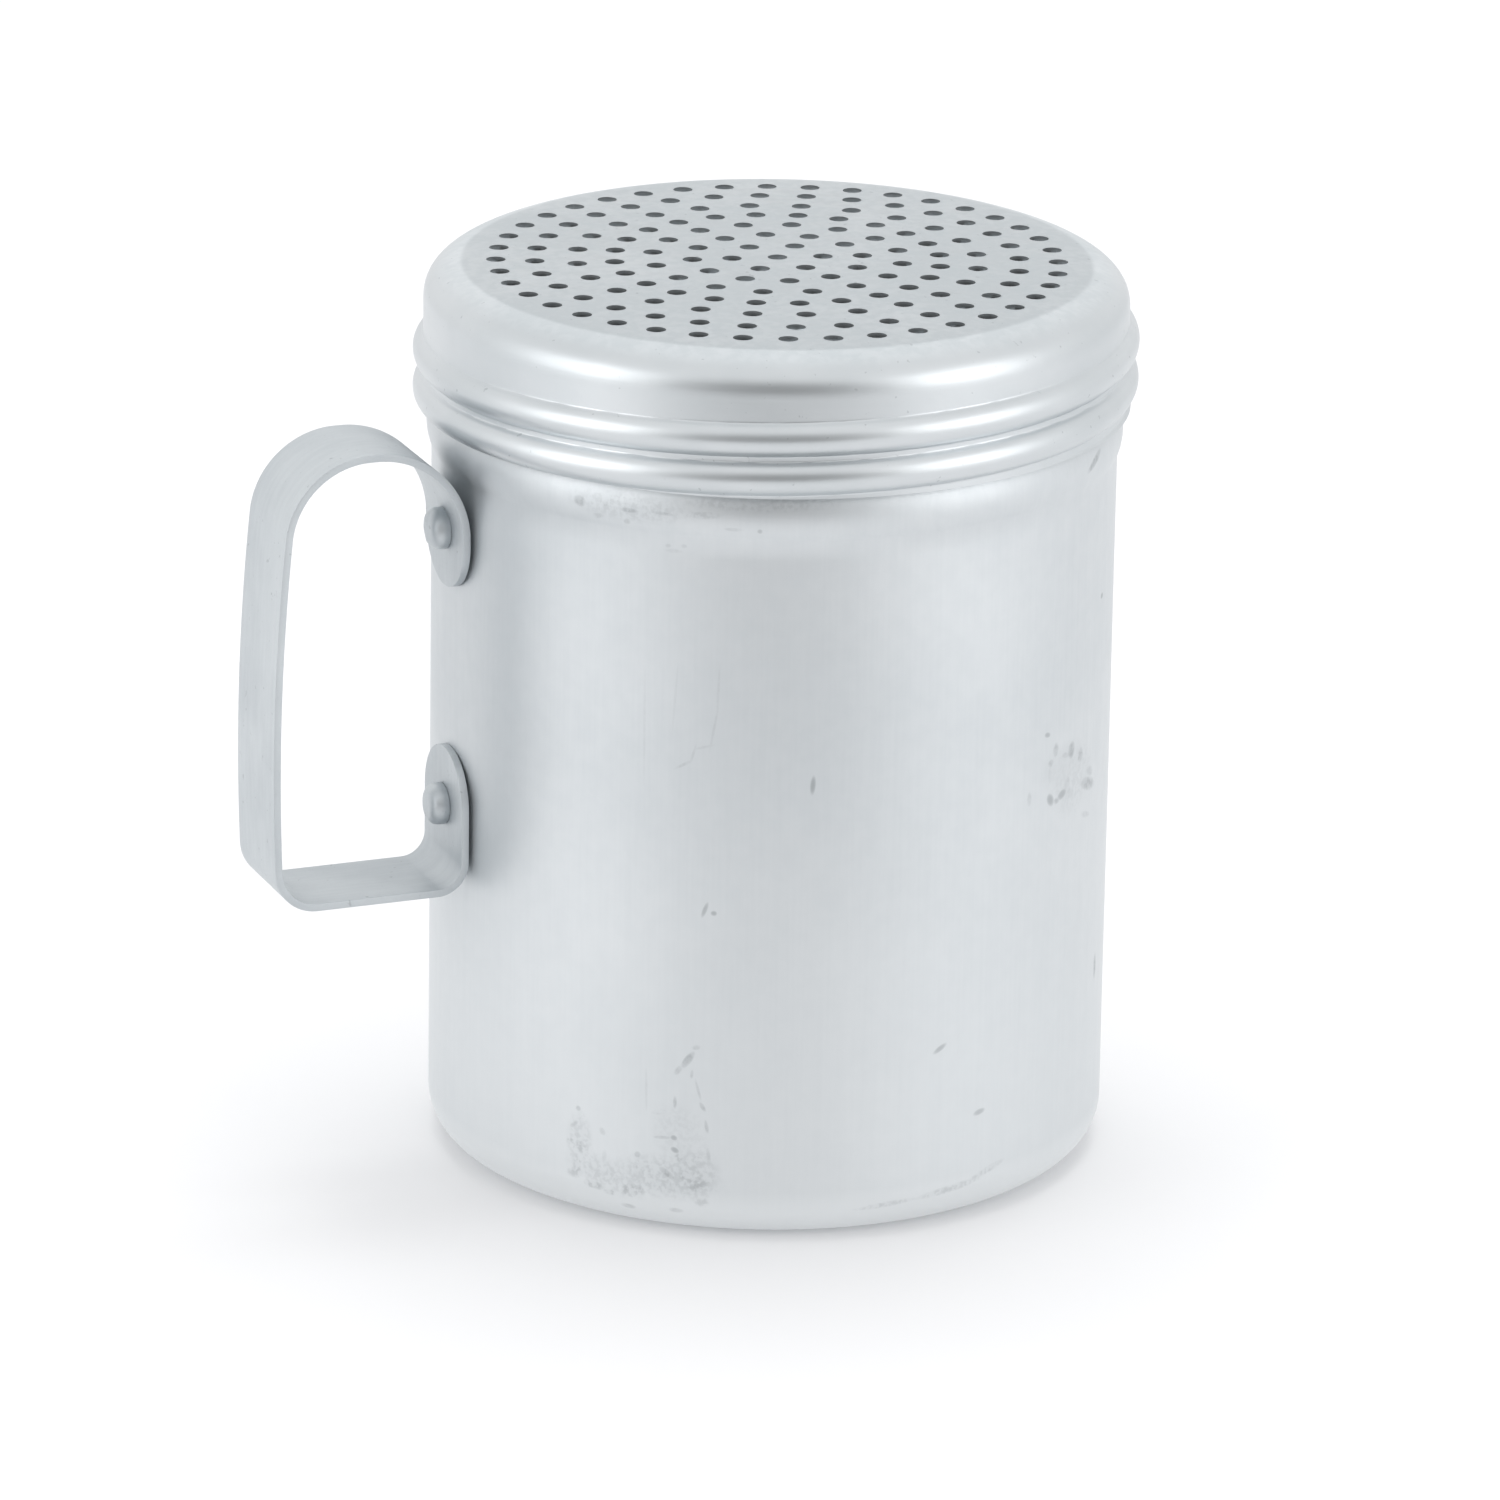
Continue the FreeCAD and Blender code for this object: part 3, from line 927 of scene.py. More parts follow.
@dataclass
class DrawnCup:
    """The drawn cup: flat base, rounded foot, straight wall, shoulder bead and threaded neck."""

    radius: float = 34.925 * MM
    sheet: float = 0.8 * MM
    foot: float = 4.5 * MM
    wall_top: float = 74.0 * MM
    bead_length: float = 4.6 * MM
    bead_proud: float = 0.525 * MM
    neck: float = 9.1 * MM
    ridge: float = 1.05 * MM
    ridge_middle: float = 34.525 * MM
    sunk_middle: float = 33.775 * MM
    ridge_first: float = 100.0
    ridge_last: float = 698.5
    ridge_fade: float = 55.0
    ripple: float = 0.035 * MM
    ripple_waves: float = 1.6
    ripple_height: float = 30 * MM
    ripple_ease: float = 8 * MM
    base_steps: int = 6
    foot_steps: int = 12
    inner_foot_steps: int = 10
    wall_steps: int = 34
    inner_wall_steps: int = 12
    bead_steps: int = 12
    neck_steps: int = 76
    inner_neck_steps: int = 8
    lip_steps: int = 8
    crease: float = 40
    thread: ThreadLine = field(default_factory=ThreadLine)

    @property
    def bore(self) -> float:
        """The inner radius."""
        return self.radius - self.sheet

    @property
    def shoulder_top(self) -> float:
        """The height at which the neck starts."""
        return self.wall_top + self.bead_length

    @property
    def rim(self) -> float:
        """The height of the rim."""
        return self.shoulder_top + self.neck

    def bead_points(self, wall: float) -> list[tuple[float, float]]:
        """Return the shoulder bead's arc on a wall radius, from its foot to its top.

        Args:
            wall: The wall's radius.

        Returns:
            The arc's points.
        """
        half = self.bead_length / 2
        round_radius = (half**2 + self.bead_proud**2) / (2 * self.bead_proud)
        spread = math.degrees(math.asin(half / round_radius))
        centre = (wall + self.bead_proud - round_radius, self.wall_top + half)
        return arc_points(centre, round_radius, -spread, spread, self.bead_steps)

    def outline(self) -> list[tuple[float, float]]:
        """Return the sheet's outline from the base's middle, up the outside and down inside.

        Returns:
            Points of (radius, height).
        """
        inner_foot = self.foot - self.sheet
        lip = self.sheet / 2
        foot_centre = (self.radius - self.foot, self.foot)
        points = [(0.0, 0.0)]
        points += line_points((0.0, 0.0), (foot_centre[0], 0.0), self.base_steps)
        points += arc_points(foot_centre, self.foot, -90, 0, self.foot_steps)
        points += line_points(
            (self.radius, self.foot), (self.radius, self.wall_top), self.wall_steps
        )
        points += self.bead_points(self.radius)
        points += line_points(
            (self.radius, self.shoulder_top), (self.radius, self.rim - lip), self.neck_steps
        )
        points += arc_points((self.radius - lip, self.rim - lip), lip, 0, 180, self.lip_steps)
        points += line_points(
            (self.bore, self.rim - lip), (self.bore, self.shoulder_top), self.inner_neck_steps
        )
        points += reversed(self.bead_points(self.bore))
        points += line_points(
            (self.bore, self.wall_top), (self.bore, self.foot), self.inner_wall_steps
        )
        points += arc_points(foot_centre, inner_foot, 0, -90, self.inner_foot_steps)
        points += line_points((foot_centre[0], self.sheet), (0.0, self.sheet), self.base_steps)
        return points + [(0.0, self.sheet)]

    def ridge_line(self, angle: float) -> float:
        """Return the radius of the neck ridge's middle line at an azimuth over the turns.

        Args:
            angle: The azimuth, in degrees over the turns.

        Returns:
            The radius.
        """
        rise = smooth_step((angle - self.ridge_first) / self.ridge_fade)
        fade = smooth_step((self.ridge_last - angle) / self.ridge_fade)
        return blend(self.sunk_middle, self.ridge_middle, min(rise, fade))

    def shape(self) -> bmesh.types.BMesh:
        """Return the cup's mesh: a spun sheet with its thread raised and a little unevenness.

        Returns:
            The finished mesh.
        """
        mesh = spin_profile(self.outline(), closed=False)
        reach = (self.ridge_first, self.ridge_last)
        for vert in mesh.verts:
            radius, turn = polar(vert)
            height = vert.co.z
            if radius > self.radius - NEAR and height > self.shoulder_top:
                azimuth = math.degrees(turn)
                set_radius(
                    vert,
                    self.thread.radius_at(
                        azimuth, height, self.radius, self.ridge, reach, self.ridge_line
                    ),
                )
            elif radius > self.bore - self.foot and self.foot < height < self.wall_top:
                ease = smooth_step((height - self.foot) / self.ripple_ease)
                ease *= smooth_step((self.wall_top - height) / self.ripple_ease)
                waves = self.ripple_waves
                spot = Vector(
                    (math.cos(turn) * waves, math.sin(turn) * waves, height / self.ripple_height)
                )
                set_radius(vert, radius - abs(self.ripple * noise.noise(spot)) * ease)
        return mesh

    def build(self, finish: bpy.types.Material) -> None:
        """Make the cup and report it."""
        piece = make_piece(self.shape(), "drawn_cup", finish, self.crease)
        report(piece, Body.CUP, Slot.CUP, "cup_body")


@dataclass
class ScrewLid:
    """The lid: a perforated crown, a rounded edge and a skirt with a rolled thread."""

    sheet: float = 0.6 * MM
    outer: float = 35.825 * MM
    corner: float = 4.0 * MM
    corner_width: float = 5.9 * MM
    corner_power: float = 2.3
    corner_steps: int = 22
    corner_height: float = 89.0 * MM
    skirt_bottom: float = 78.7 * MM
    crown: float = 0.4 * MM
    ring_top: float = 88.0 * MM
    ring_height: float = 0.8 * MM
    ring_depth: float = 0.3 * MM
    ridge: float = 1.9 * MM
    ridge_middle: float = 34.975 * MM
    runout_middle: float = 34.525 * MM
    sunk_middle: float = 33.825 * MM
    runout_turn: float = 80.0
    runout_full: float = 118.0
    fade_start: float = 698.5
    fade_turn: float = 75.0
    field_radius: float = 28.5 * MM
    hole: float = 1.0 * MM
    mouth: float = 1.08 * MM
    mouth_round: float = 0.06 * MM
    ball: float = 2.6 * MM
    mouth_shares: tuple[float, ...] = (0.2, 0.4, 0.7, 1.0)
    dent: float = 0.05 * MM
    dent_cell: float = 14 * MM
    dent_ease: float = 2 * MM
    rim_margin: float = 0.1 * MM
    crease: float = 38
    hole_steps: int = 16
    band_steps: int = 4
    skirt_rows: int = 84
    counts: tuple[int, ...] = (40, 32, 24, 24, 16, 12, 6)
    radius_shares: tuple[float, ...] = (1.0, 0.863, 0.716, 0.582, 0.446, 0.305, 0.163)
    phases: tuple[float, ...] = (7.3, 4.9, 1.2, 0.8, 16.6, 16.2, 46.0)
    thread: ThreadLine = field(default_factory=ThreadLine)

    @property
    def crown_radius(self) -> float:
        """The radius at which the crown meets the rounded edge."""
        return self.outer - self.corner_width

    def crown_height(self, radius: float) -> float:
        """Return the height of the crown's upper face at a radius.

        Args:
            radius: The radius.

        Returns:
            The height.
        """
        edge = self.corner_height + self.corner
        bow = (self.crown_radius**2 + self.crown**2) / (2 * self.crown)
        return edge + self.crown - bow + math.sqrt(bow**2 - radius**2)

    def hole_centres(self) -> list[Vector]:
        """Return the middle of each hole, in plan.

        Returns:
            The middles, the one in the lid's own middle first.
        """
        centres = [Vector((0.0, 0.0, 0.0))]
        for count, share, phase in zip(self.counts, self.radius_shares, self.phases):
            radius = self.field_radius * share
            for index in range(count):
                turn = math.radians(phase + 360 * index / count)
                centres.append(Vector((radius * math.cos(turn), radius * math.sin(turn), 0.0)))
        return centres

    def crown_mesh(self) -> bmesh.types.BMesh:
        """Return the crown as a sheet between its rim and the mouths of its dimples.

        Returns:
            The sheet, with each mouth's vertices numbered by hole.
        """
        mesh = bmesh.new()
        place = mesh.verts.layers.int.new("hole")
        centres = self.hole_centres()
        for index, centre in enumerate(centres):
            made = bmesh.ops.create_circle(
                mesh,
                segments=self.hole_steps,
                radius=self.mouth + self.mouth_round,
                matrix=Matrix.Translation(centre),
            )
            for vert in made["verts"]:
                vert[place] = index + 1
        bmesh.ops.create_circle(mesh, segments=STEPS_ROUND, radius=self.crown_radius)
        bmesh.ops.triangle_fill(mesh, use_beauty=True, edges=mesh.edges[:], normal=(0, 0, 1))
        for vert in mesh.verts:
            sag = abs(noise.noise(vert.co / self.dent_cell)) * self.dent
            ease = smooth_step((self.crown_radius - polar(vert)[0]) / self.dent_ease)
            vert.co.z = self.crown_height(polar(vert)[0]) - sag * ease
        return mesh

    def dimple_drop(self, radius: float) -> float:
        """Return how far a dimple lies under the crown at a radius from its hole's axis.

        Args:
            radius: The distance from the hole's axis.

        Returns:
            The drop.
        """
        lift = math.sqrt(self.ball**2 - self.mouth**2)
        inside = math.sqrt(self.ball**2 - min(radius, self.mouth) ** 2) - lift
        rolled = smooth_step((self.mouth + self.mouth_round - radius) / (2 * self.mouth_round))
        return inside + rolled * self.mouth_round / 3

    def punch(self, mesh: bmesh.types.BMesh) -> None:
        """Draw each mouth down into its dimple, ring by ring, to the hole's edge.

        Args:
            mesh: The crown's mesh, which is changed.
        """
        place = mesh.verts.layers.int["hole"]
        centres = self.hole_centres()
        rings = [
            edge
            for edge in mesh.edges
            if edge.is_boundary and edge.verts[0][place] and edge.verts[1][place]
        ]
        span = self.mouth + self.mouth_round - self.hole
        for share in self.mouth_shares:
            made = bmesh.ops.extrude_edge_only(mesh, edges=rings)["geom"]
            rings = [item for item in made if isinstance(item, bmesh.types.BMEdge)]
            rings = [edge for edge in rings if edge.is_boundary]
            radius = self.mouth + self.mouth_round - span * share
            for vert in {vert for edge in rings for vert in edge.verts}:
                centre = centres[vert[place] - 1]
                arm = Vector((vert.co.x - centre.x, vert.co.y - centre.y, 0.0)).normalized()
                spot = centre + arm * radius
                top = self.crown_height(centre.length)
                vert.co = Vector((spot.x, spot.y, top - self.dimple_drop(radius)))

    def lid_line(self, angle: float) -> float:
        """Return the radius of the skirt ridge's middle line at an azimuth over the turns.

        Args:
            angle: The azimuth, in degrees over the turns.

        Returns:
            The radius.
        """
        rise = smooth_step((angle - self.runout_full + self.runout_turn) / self.runout_turn)
        fade = smooth_step((angle - self.fade_start) / self.fade_turn)
        full = blend(self.runout_middle, self.ridge_middle, rise)
        return blend(full, self.sunk_middle, fade)

    def corner_points(self) -> list[tuple[float, float]]:
        """Return the rounded edge's line from the crown's rim down, easing in and out.

        Returns:
            Points of (radius, height).
        """
        power = 2 / self.corner_power
        points = []
        for step in range(1, self.corner_steps):
            turn = math.radians(90 * (1 - step / self.corner_steps))
            across = self.corner_width * math.cos(turn) ** power
            rise = self.corner * math.sin(turn) ** power
            points.append((self.crown_radius + across, self.corner_height + rise))
        return points + [(self.outer, self.corner_height)]

    def draw_side(self, mesh: bmesh.types.BMesh) -> None:
        """Extrude the crown's rim over the rounded edge and down the threaded skirt.

        Args:
            mesh: The crown's mesh, which is changed.
        """
        place = mesh.verts.layers.int["hole"]
        rim = [edge for edge in mesh.edges if edge.is_boundary and not edge.verts[0][place]]
        path = self.corner_points()
        for height in (self.ring_top, self.ring_top - self.ring_height):
            band_foot = (self.outer, height)
            path += line_points(path[-1], band_foot, self.band_steps) + [band_foot]
        foot = (self.outer, self.skirt_bottom)
        path += line_points(path[-1], foot, self.skirt_rows) + [foot]
        reach = (self.thread.start_angle, self.fade_start + self.fade_turn)
        for radius, height in path:
            made = bmesh.ops.extrude_edge_only(mesh, edges=rim)["geom"]
            rim = [item for item in made if isinstance(item, bmesh.types.BMEdge)]
            rim = [edge for edge in rim if edge.is_boundary]
            for vert in {vert for edge in rim for vert in edge.verts}:
                vert.co.z = height
                if height > self.ring_top - self.ring_height / 4:
                    set_radius(vert, radius)
                    continue
                azimuth = math.degrees(polar(vert)[1])
                ridge = self.thread.radius_at(
                    azimuth, height, radius, self.ridge, reach, self.lid_line
                )
                set_radius(vert, ridge)

    def recess(self, inner: Iterable[bmesh.types.BMVert]) -> None:
        """Sink the inner face behind the lift ring by the ring's depth.

        Args:
            inner: The vertices of the inner face, which are moved.
        """
        low = self.ring_top - self.ring_height - NEAR
        high = self.ring_top + NEAR
        for vert in inner:
            if low < vert.co.z < high:
                set_radius(vert, self.outer - self.sheet + self.ring_depth)

    def bore_through(self, inner: Sequence[bmesh.types.BMVert]) -> None:
        """Flatten the underside round each hole and bring the hole straight through the sheet.

        Args:
            inner: The vertices of the inner face, which are moved.
        """
        limit = self.crown_radius - self.rim_margin
        under = [vert for vert in inner if polar(vert)[0] < limit]
        places = KDTree(len(under))
        for index, vert in enumerate(under):
            places.insert((vert.co.x, vert.co.y, 0.0), index)
        places.balance()
        reach = self.mouth + self.mouth_round + self.sheet / 2
        for centre in self.hole_centres():
            foot = self.crown_height(centre.length) - self.sheet
            for _, index, _ in places.find_range(centre, reach):
                under[index].co.z = foot
            for spot, index, _ in places.find_n(centre, self.hole_steps):
                arm = (spot - centre).normalized() * self.hole
                under[index].co = centre + arm + Vector((0.0, 0.0, foot))

    def shape(self) -> bmesh.types.BMesh:
        """Return the lid's mesh: the crown, punched, drawn down and given its thickness.

        Returns:
            The finished mesh.
        """
        mesh = self.crown_mesh()
        self.punch(mesh)
        self.draw_side(mesh)
        bmesh.ops.recalc_face_normals(mesh, faces=mesh.faces)
        if sum(face.normal.z * face.calc_area() for face in mesh.faces) < 0:
            bmesh.ops.reverse_faces(mesh, faces=mesh.faces)
        made = bmesh.ops.solidify(mesh, geom=mesh.faces[:], thickness=self.sheet)
        inner = [item for item in made["geom"] if isinstance(item, bmesh.types.BMVert)]
        self.bore_through(inner)
        self.recess(inner)
        return mesh

    def build(self, finish: bpy.types.Material) -> None:
        """Make the lid and report it."""
        piece = make_piece(self.shape(), "screw_lid", finish, self.crease)
        report(piece, Body.LID, Slot.LID, "lid_cap")


@dataclass
class LiftRing:
    """The plain band in the lid's inner face that rises with the lid and doesn't turn."""

    inner: float = 35.225 * MM
    outer: float = 35.525 * MM
    foot: float = 87.2 * MM
    top: float = 88.0 * MM
    crease: float = 30

    def build(self, finish: bpy.types.Material) -> None:
        """Make the band and report it.

        Args:
            finish: The lid's finish.
        """
        outline = [
            (self.inner, self.foot),
            (self.outer, self.foot),
            (self.outer, self.top),
            (self.inner, self.top),
        ]
        mesh = spin_profile(outline, closed=True)
        piece = make_piece(mesh, "lift_ring", finish, self.crease)
        report(piece, Body.LIFT, Slot.LID, "lid_lift_ring")


@dataclass
class StrapHandle:
    """The bent strap: two round-ended tabs on the cup and a bowed grip."""

    tab: float = 34.945 * MM
    width: float = 11.1 * MM
    thickness: float = 0.75 * MM
    upper_rivet: float = 68.3 * MM
    lower_rivet: float = 39.0 * MM
    tab_reach: float = 0.5 * MM
    upper_straight: float = 0.1 * MM
    wall_bend: float = 10.0 * MM
    top_flat: float = 0.64163 * MM
    grip_top: float = 9.0 * MM
    bow: float = 250.0 * MM
    bow_rise: float = 9.55 * MM
    grip_foot: float = 4.5 * MM
    lower_bend: float = 3.3 * MM
    lower_straight: float = 4.75 * MM
    across: int = 10
    tip_steps: int = 12
    tip_gap: float = 1 * MM
    bend_steps: tuple[int, ...] = (40, 36, 24, 22, 20)
    edge_round: float = 0.16 * MM
    edge_angle: float = 60
    crease: float = 50

    def route(self) -> list[tuple[float, float]]:
        """Return dense points of the outer face's line, from one tab's tip to the other's.

        Returns:
            Points of (distance from the cup's axis, height).
        """
        half = self.width / 2
        upper = (self.tab + self.wall_bend, self.upper_rivet + self.upper_straight)
        top = upper[1] + self.wall_bend
        lower_height = self.lower_rivet - self.lower_straight
        lower = (self.tab + self.lower_bend, lower_height)
        foot = lower_height - self.lower_bend
        grip_top = (upper[0] + self.top_flat, top - self.grip_top)
        bow_height = foot + self.grip_foot + self.bow_rise
        rise = grip_top[1] - bow_height
        run = math.sqrt((self.bow - self.grip_top) ** 2 - rise**2)
        top_turn = math.degrees(math.atan2(rise, run))
        bow_centre = (grip_top[0] - run, bow_height)
        foot_run = math.sqrt((self.bow - self.grip_foot) ** 2 - self.bow_rise**2)
        foot_turn = math.degrees(math.atan2(-self.bow_rise, foot_run))
        grip_foot = (bow_centre[0] + foot_run, foot + self.grip_foot)
        route = [(self.tab, self.upper_rivet - self.tab_reach - half)]
        route.append((self.tab, self.upper_rivet))
        bends = (
            (upper, self.wall_bend, 180, 90),
            (grip_top, self.grip_top, 90, top_turn),
            (bow_centre, self.bow, top_turn, foot_turn),
            (grip_foot, self.grip_foot, foot_turn, -90),
            (lower, self.lower_bend, -90, -180),
        )
        for bend, steps in zip(bends, self.bend_steps):
            route += arc_points(*bend, steps)
        return route + [(self.tab, self.lower_rivet + self.tab_reach + half)]

    def shape(self) -> bmesh.types.BMesh:
        """Return the strap's mesh: a flat strip with round ends, bent along its route.

        Returns:
            The finished mesh.
        """
        route = [Vector((-radius, 0.0, height)) for radius, height in self.route()]
        lengths = [0.0]
        for start, end in zip(route, route[1:]):
            lengths.append(lengths[-1] + (end - start).length)
        total = lengths[-1]
        half = self.width / 2
        tips = [
            half * (1 - math.cos(math.pi / 2 * index / self.tip_steps))
            for index in range(self.tip_steps + 1)
        ]
        low, high = half + self.tip_gap, total - half - self.tip_gap
        middle = [place for place in lengths if low < place < high]
        stations = tips + middle + [total - place for place in reversed(tips)]
        mesh = bmesh.new()
        bmesh.ops.create_grid(
            mesh, x_segments=len(stations) - 1, y_segments=self.across, size=0.5
        )
        for vert in mesh.verts:
            place = stations[round((vert.co.x + 0.5) * (len(stations) - 1))]
            side = vert.co.y * 2
            inset = min(place, total - place, half)
            reach = math.sqrt(max(half**2 - (half - inset) ** 2, 0.0))
            reached = place + LENGTH_SLACK
            index = max(i for i, length in enumerate(lengths[:-1]) if length <= reached)
            share = (place - lengths[index]) / (lengths[index + 1] - lengths[index])
            vert.co = route[index].lerp(route[index + 1], share) + Vector((0, side * reach, 0))
        bmesh.ops.remove_doubles(mesh, verts=mesh.verts, dist=MERGE_GAP)
        bmesh.ops.recalc_face_normals(mesh, faces=mesh.faces)
        top_face = max(mesh.faces, key=lambda face: face.calc_center_median().z)
        if top_face.normal.z < 0:
            bmesh.ops.reverse_faces(mesh, faces=mesh.faces)
        bmesh.ops.solidify(mesh, geom=mesh.faces[:], thickness=self.thickness)
        bevel(mesh, sharp_edges(mesh, self.edge_angle), self.edge_round)
        return mesh

    def build(self, finish: bpy.types.Material) -> None:
        """Make the strap and report it."""
        piece = make_piece(self.shape(), "strap_handle", finish, self.crease)
        report(piece, Body.CUP, Slot.HANDLE, "handle_strap")


@dataclass
class Rivet:
    """One rivet: a low hammered head on the strap, a shank and a flat tail in the cup."""

    name: str
    node: str
    height: float
    seat: float = 35.695 * MM
    head: float = 2.15 * MM
    head_height: float = 1.9 * MM
    head_edge: float = 0.7 * MM
    flat: float = 1.0 * MM
    shank: float = 1.6 * MM
    tail: float = 2.2 * MM
    tail_height: float = 0.9 * MM
    bore: float = 34.125 * MM
    edge_round: float = 0.2 * MM
    tail_gap: float = 0.07 * MM
    dent: float = 0.14 * MM
    dent_cells: float = 520
    dome_steps: int = 10
    crease: float = 50

    def outline(self) -> list[tuple[float, float]]:
        """Return the rivet's outline about its own axis, from the tail to the head's middle.

        Returns:
            Points of (distance from the rivet's axis, distance from the cup's axis).
        """
        span = self.head - self.flat
        drop = self.head_height - self.head_edge
        dome = [
            (self.flat + span * math.cos(turn), self.seat + self.head_edge + drop * math.sin(turn))
            for turn in (
                math.pi / 2 * index / self.dome_steps for index in range(self.dome_steps + 1)
            )
        ]
        tail_top = self.bore - self.tail_height
        ease = self.edge_round
        tail_foot = self.bore - self.tail_gap
        points = [(0.0, tail_top), (self.tail - ease, tail_top), (self.tail, tail_top + ease)]
        points += [(self.tail, tail_foot), (self.shank, tail_foot)]
        points += [(self.shank, self.seat), (self.head - ease / 2, self.seat)]
        points += [(self.head, self.seat + ease / 2)]
        return points + dome + [(self.flat / 2, self.seat + self.head_height), (0.0, dome[-1][1])]

    def shape(self) -> bmesh.types.BMesh:
        """Return the rivet's mesh, laid on its side and lifted to its height.

        Returns:
            The finished mesh.
        """
        mesh = spin_profile(self.outline(), closed=False)
        for vert in mesh.verts:
            if vert.co.z > self.seat + self.head_edge:
                spot = Vector((vert.co.x, vert.co.y, self.height)) * self.dent_cells
                vert.co.z -= self.dent * abs(noise.noise(spot))
        turn = Matrix.Rotation(-math.pi / 2, 4, "Y")
        bmesh.ops.transform(mesh, matrix=turn, verts=mesh.verts)
        bmesh.ops.translate(mesh, verts=mesh.verts, vec=(0.0, 0.0, self.height))
        return mesh

    def build(self, finish: bpy.types.Material) -> None:
        """Make the rivet and report it."""
        piece = make_piece(self.shape(), self.name, finish, self.crease)
        report(piece, Body.CUP, Slot.RIVET, self.node)


@dataclass(frozen=True)
class Softbox:
    """One soft lamp that faces the object.

    Attributes:
        name: The lamp's name.
        azimuth: Degrees from the camera's side, positive to its right.
        elevation: Degrees over the horizon.
        distance: How far it is from the object.
        size: Its width and height.
        power: Its power, in watts.
        mirrored: Whether the metal mirrors it.
    """

    name: str
    azimuth: float
    elevation: float
    distance: float
    size: tuple[float, float]
    power: float
    mirrored: bool = True


@dataclass
class Studio:
    """The pale floor, the soft light and the camera at the photograph's angle."""

    focal_px: float = 9713.0
    distance: float = 1.0
    elevation: float = math.radians(18.53)
    roll: float = math.radians(0.91)
    aim: tuple[float, float, float] = (-1.99 * MM, 0.0, 40.69 * MM)
    turn: float = math.radians(-22)
    sensor: float = 36.0
    floor_size: float = 4.0
    floor_front: float = 0.42
    floor_colour: tuple[float, float, float, float] = (0.87, 0.87, 0.88, 1.0)
    floor_roughness: float = 0.9
    floor_lift: float = 0.02
    floor_glow: float = 0.5
    background: float = 1.0
    ambient: float = 0.84
    dim: float = 0.78
    dim_outer: float = math.radians(44)
    dim_inner: float = math.radians(14)
    far: float = 50.0
    lamp_aim: float = 50 * MM
    lamps: tuple[Softbox, ...] = (
        Softbox("left_softbox", -62, 16, 0.75, (0.46, 0.50), 0.9),
        Softbox("right_softbox", 62, 16, 0.75, (0.46, 0.50), 0.9),
        Softbox("overhead_softbox", 180, 76, 1.3, (1.0, 1.0), 7.0, mirrored=False),
    )

    def photo_turn(self) -> Matrix:
        """Return the turn from the photograph's frame to the part's."""
        return Matrix.Rotation(self.turn, 3, "Z")

    def direction(self, azimuth: float, elevation: float) -> Vector:
        """Return a unit vector, in the part's frame, seen from the object.

        Args:
            azimuth: Degrees from the camera's side, positive to its right.
            elevation: Degrees over the horizon.

        Returns:
            The vector.
        """
        side, up = math.radians(azimuth), math.radians(elevation)
        level = math.cos(up)
        toward = Vector((math.sin(side) * level, -math.cos(side) * level, math.sin(up)))
        return self.photo_turn() @ toward

    def camera(self) -> None:
        """Place the camera."""
        back = Vector((0.0, -math.cos(self.elevation), math.sin(self.elevation)))
        right = Vector((1.0, 0.0, 0.0))
        up = back.cross(right)
        rolled_right = right * math.cos(self.roll) + up * math.sin(self.roll)
        rolled_up = up * math.cos(self.roll) - right * math.sin(self.roll)
        turn = self.photo_turn()
        columns = [turn @ rolled_right, turn @ rolled_up, turn @ back]
        rotation = Matrix(columns).transposed().to_4x4()
        place = turn @ (Vector(self.aim) + back * self.distance)
        data = bpy.data.cameras.new("photo_camera")
        data.sensor_width = self.sensor
        data.lens = self.focal_px / PHOTO_WIDTH_PX * self.sensor
        data.clip_end = self.far
        eye = bpy.data.objects.new("photo_camera", data)
        eye.matrix_world = Matrix.Translation(place) @ rotation
        bpy.context.scene.collection.objects.link(eye)
        bpy.context.scene.camera = eye

    def world(self) -> None:
        """Light the scene from a white surround that is darker on the camera's side."""
        world = bpy.data.worlds.new("soft_surround")
        world.use_nodes = True
        tree = Tree(world.node_tree)
        towards = tree.node("ShaderNodeTexCoord", {}, {}).outputs["Generated"]
        path = tree.node("ShaderNodeLightPath", {}, {})
        camera_ray = Signal(tree, path.outputs["Is Camera Ray"])
        glossy_ray = Signal(tree, path.outputs["Is Glossy Ray"])
        front = tree.dot(towards, self.direction(0, 0)).ramp(
            math.cos(self.dim_outer), math.cos(self.dim_inner)
        )
        seen = self.background - front * self.dim
        around = camera_ray * self.background
        around = around + (1 - camera_ray) * (glossy_ray * seen + (1 - glossy_ray) * self.ambient)
        shader = tree.node("ShaderNodeBackground", {}, {"Color": around, "Strength": 1.0})
        tree.node("ShaderNodeOutputWorld", {}, {"Surface": shader.outputs["Background"]})
        bpy.context.scene.world = world

    def hang(self, softbox: Softbox) -> None:
        """Hang one soft lamp.

        Args:
            softbox: The lamp's place, size and power.
        """
        data = bpy.data.lights.new(softbox.name, "AREA")
        data.shape = "RECTANGLE"
        data.size, data.size_y = softbox.size
        data.energy = softbox.power
        lamp = bpy.data.objects.new(softbox.name, data)
        middle = Vector((0.0, 0.0, self.lamp_aim))
        place = self.direction(softbox.azimuth, softbox.elevation) * softbox.distance + middle
        facing = (middle - place).to_track_quat("-Z", "Y").to_matrix().to_4x4()
        lamp.matrix_world = Matrix.Translation(place) @ facing
        lamp.visible_glossy = softbox.mirrored
        bpy.context.scene.collection.objects.link(lamp)

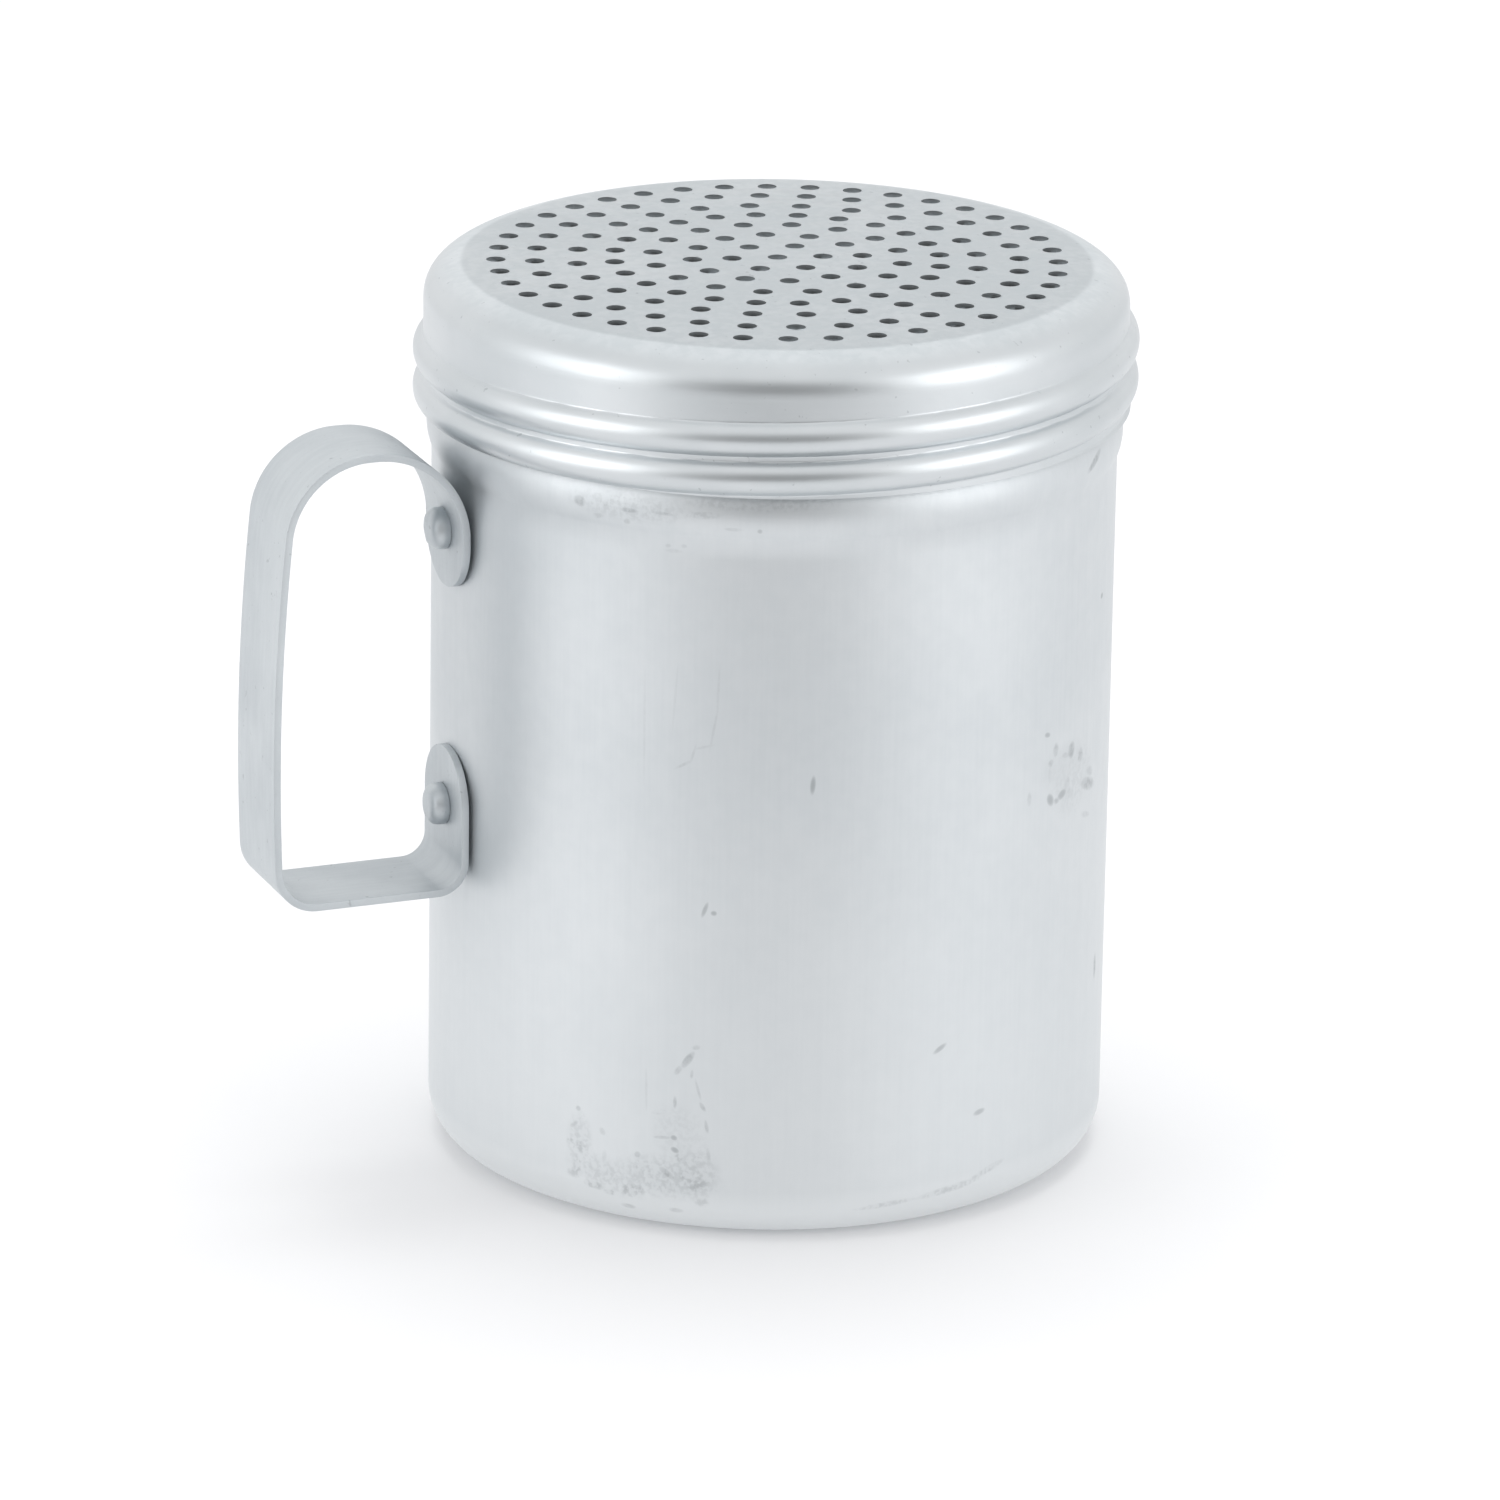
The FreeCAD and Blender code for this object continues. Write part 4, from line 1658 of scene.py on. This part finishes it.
    def floor(self) -> None:
        """Lay the pale floor."""
        mesh = bmesh.new()
        bmesh.ops.create_grid(mesh, x_segments=2, y_segments=2, size=self.floor_size)
        away = Vector((0.0, self.floor_size - self.floor_front, 0.0))
        bmesh.ops.translate(mesh, verts=mesh.verts, vec=away)
        bmesh.ops.rotate(mesh, verts=mesh.verts, matrix=self.photo_turn())
        data = bpy.data.meshes.new("pale_floor")
        mesh.to_mesh(data)
        mesh.free()
        material = bpy.data.materials.new("pale_floor")
        material.use_nodes = True
        tree = Tree(material.node_tree)
        path = tree.node("ShaderNodeLightPath", {}, {})
        shader = tree.node(
            "ShaderNodeBsdfPrincipled",
            {},
            {
                "Base Color": self.floor_colour,
                "Roughness": self.floor_roughness,
                "Specular IOR Level": 0.0,
                "Emission Color": path.outputs["Is Camera Ray"],
                "Emission Strength": self.floor_lift,
            },
        )
        white = tree.node("ShaderNodeEmission", {}, {"Color": (1.0, 1.0, 1.0, 1.0)})
        seen = Signal(tree, path.outputs["Is Glossy Ray"]) * self.floor_glow
        mixed = tree.node(
            "ShaderNodeMixShader",
            {},
            {"Fac": seen, 1: shader.outputs["BSDF"], 2: white.outputs["Emission"]},
        )
        tree.node("ShaderNodeOutputMaterial", {}, {"Surface": mixed.outputs["Shader"]})
        data.materials.append(material)
        ground = bpy.data.objects.new("pale_floor", data)
        bpy.context.scene.collection.objects.link(ground)

    def build(self) -> None:
        """Set up the whole studio."""
        self.camera()
        self.world()
        self.floor()
        for softbox in self.lamps:
            self.hang(softbox)
        bpy.context.scene.view_settings.view_transform = "Standard"


def main() -> None:
    """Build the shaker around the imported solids."""
    logging.basicConfig(level=logging.INFO, format="%(message)s", stream=sys.stdout)
    Studio().build()
    lid_finish = SpunMetal().build()
    DrawnCup().build(DrawnMetal().build())
    ScrewLid().build(lid_finish)
    LiftRing().build(lid_finish)
    StrapHandle().build(StrapMetal("strap_metal").build())
    rivet_finish = StrapMetal("rivet_metal", roughness=0.48).build()
    Rivet("rivet_upper", "upper_rivet", 68.3 * MM).build(rivet_finish)
    Rivet("rivet_lower", "lower_rivet", 39.0 * MM).build(rivet_finish)


if __name__ == "__main__":
    main()
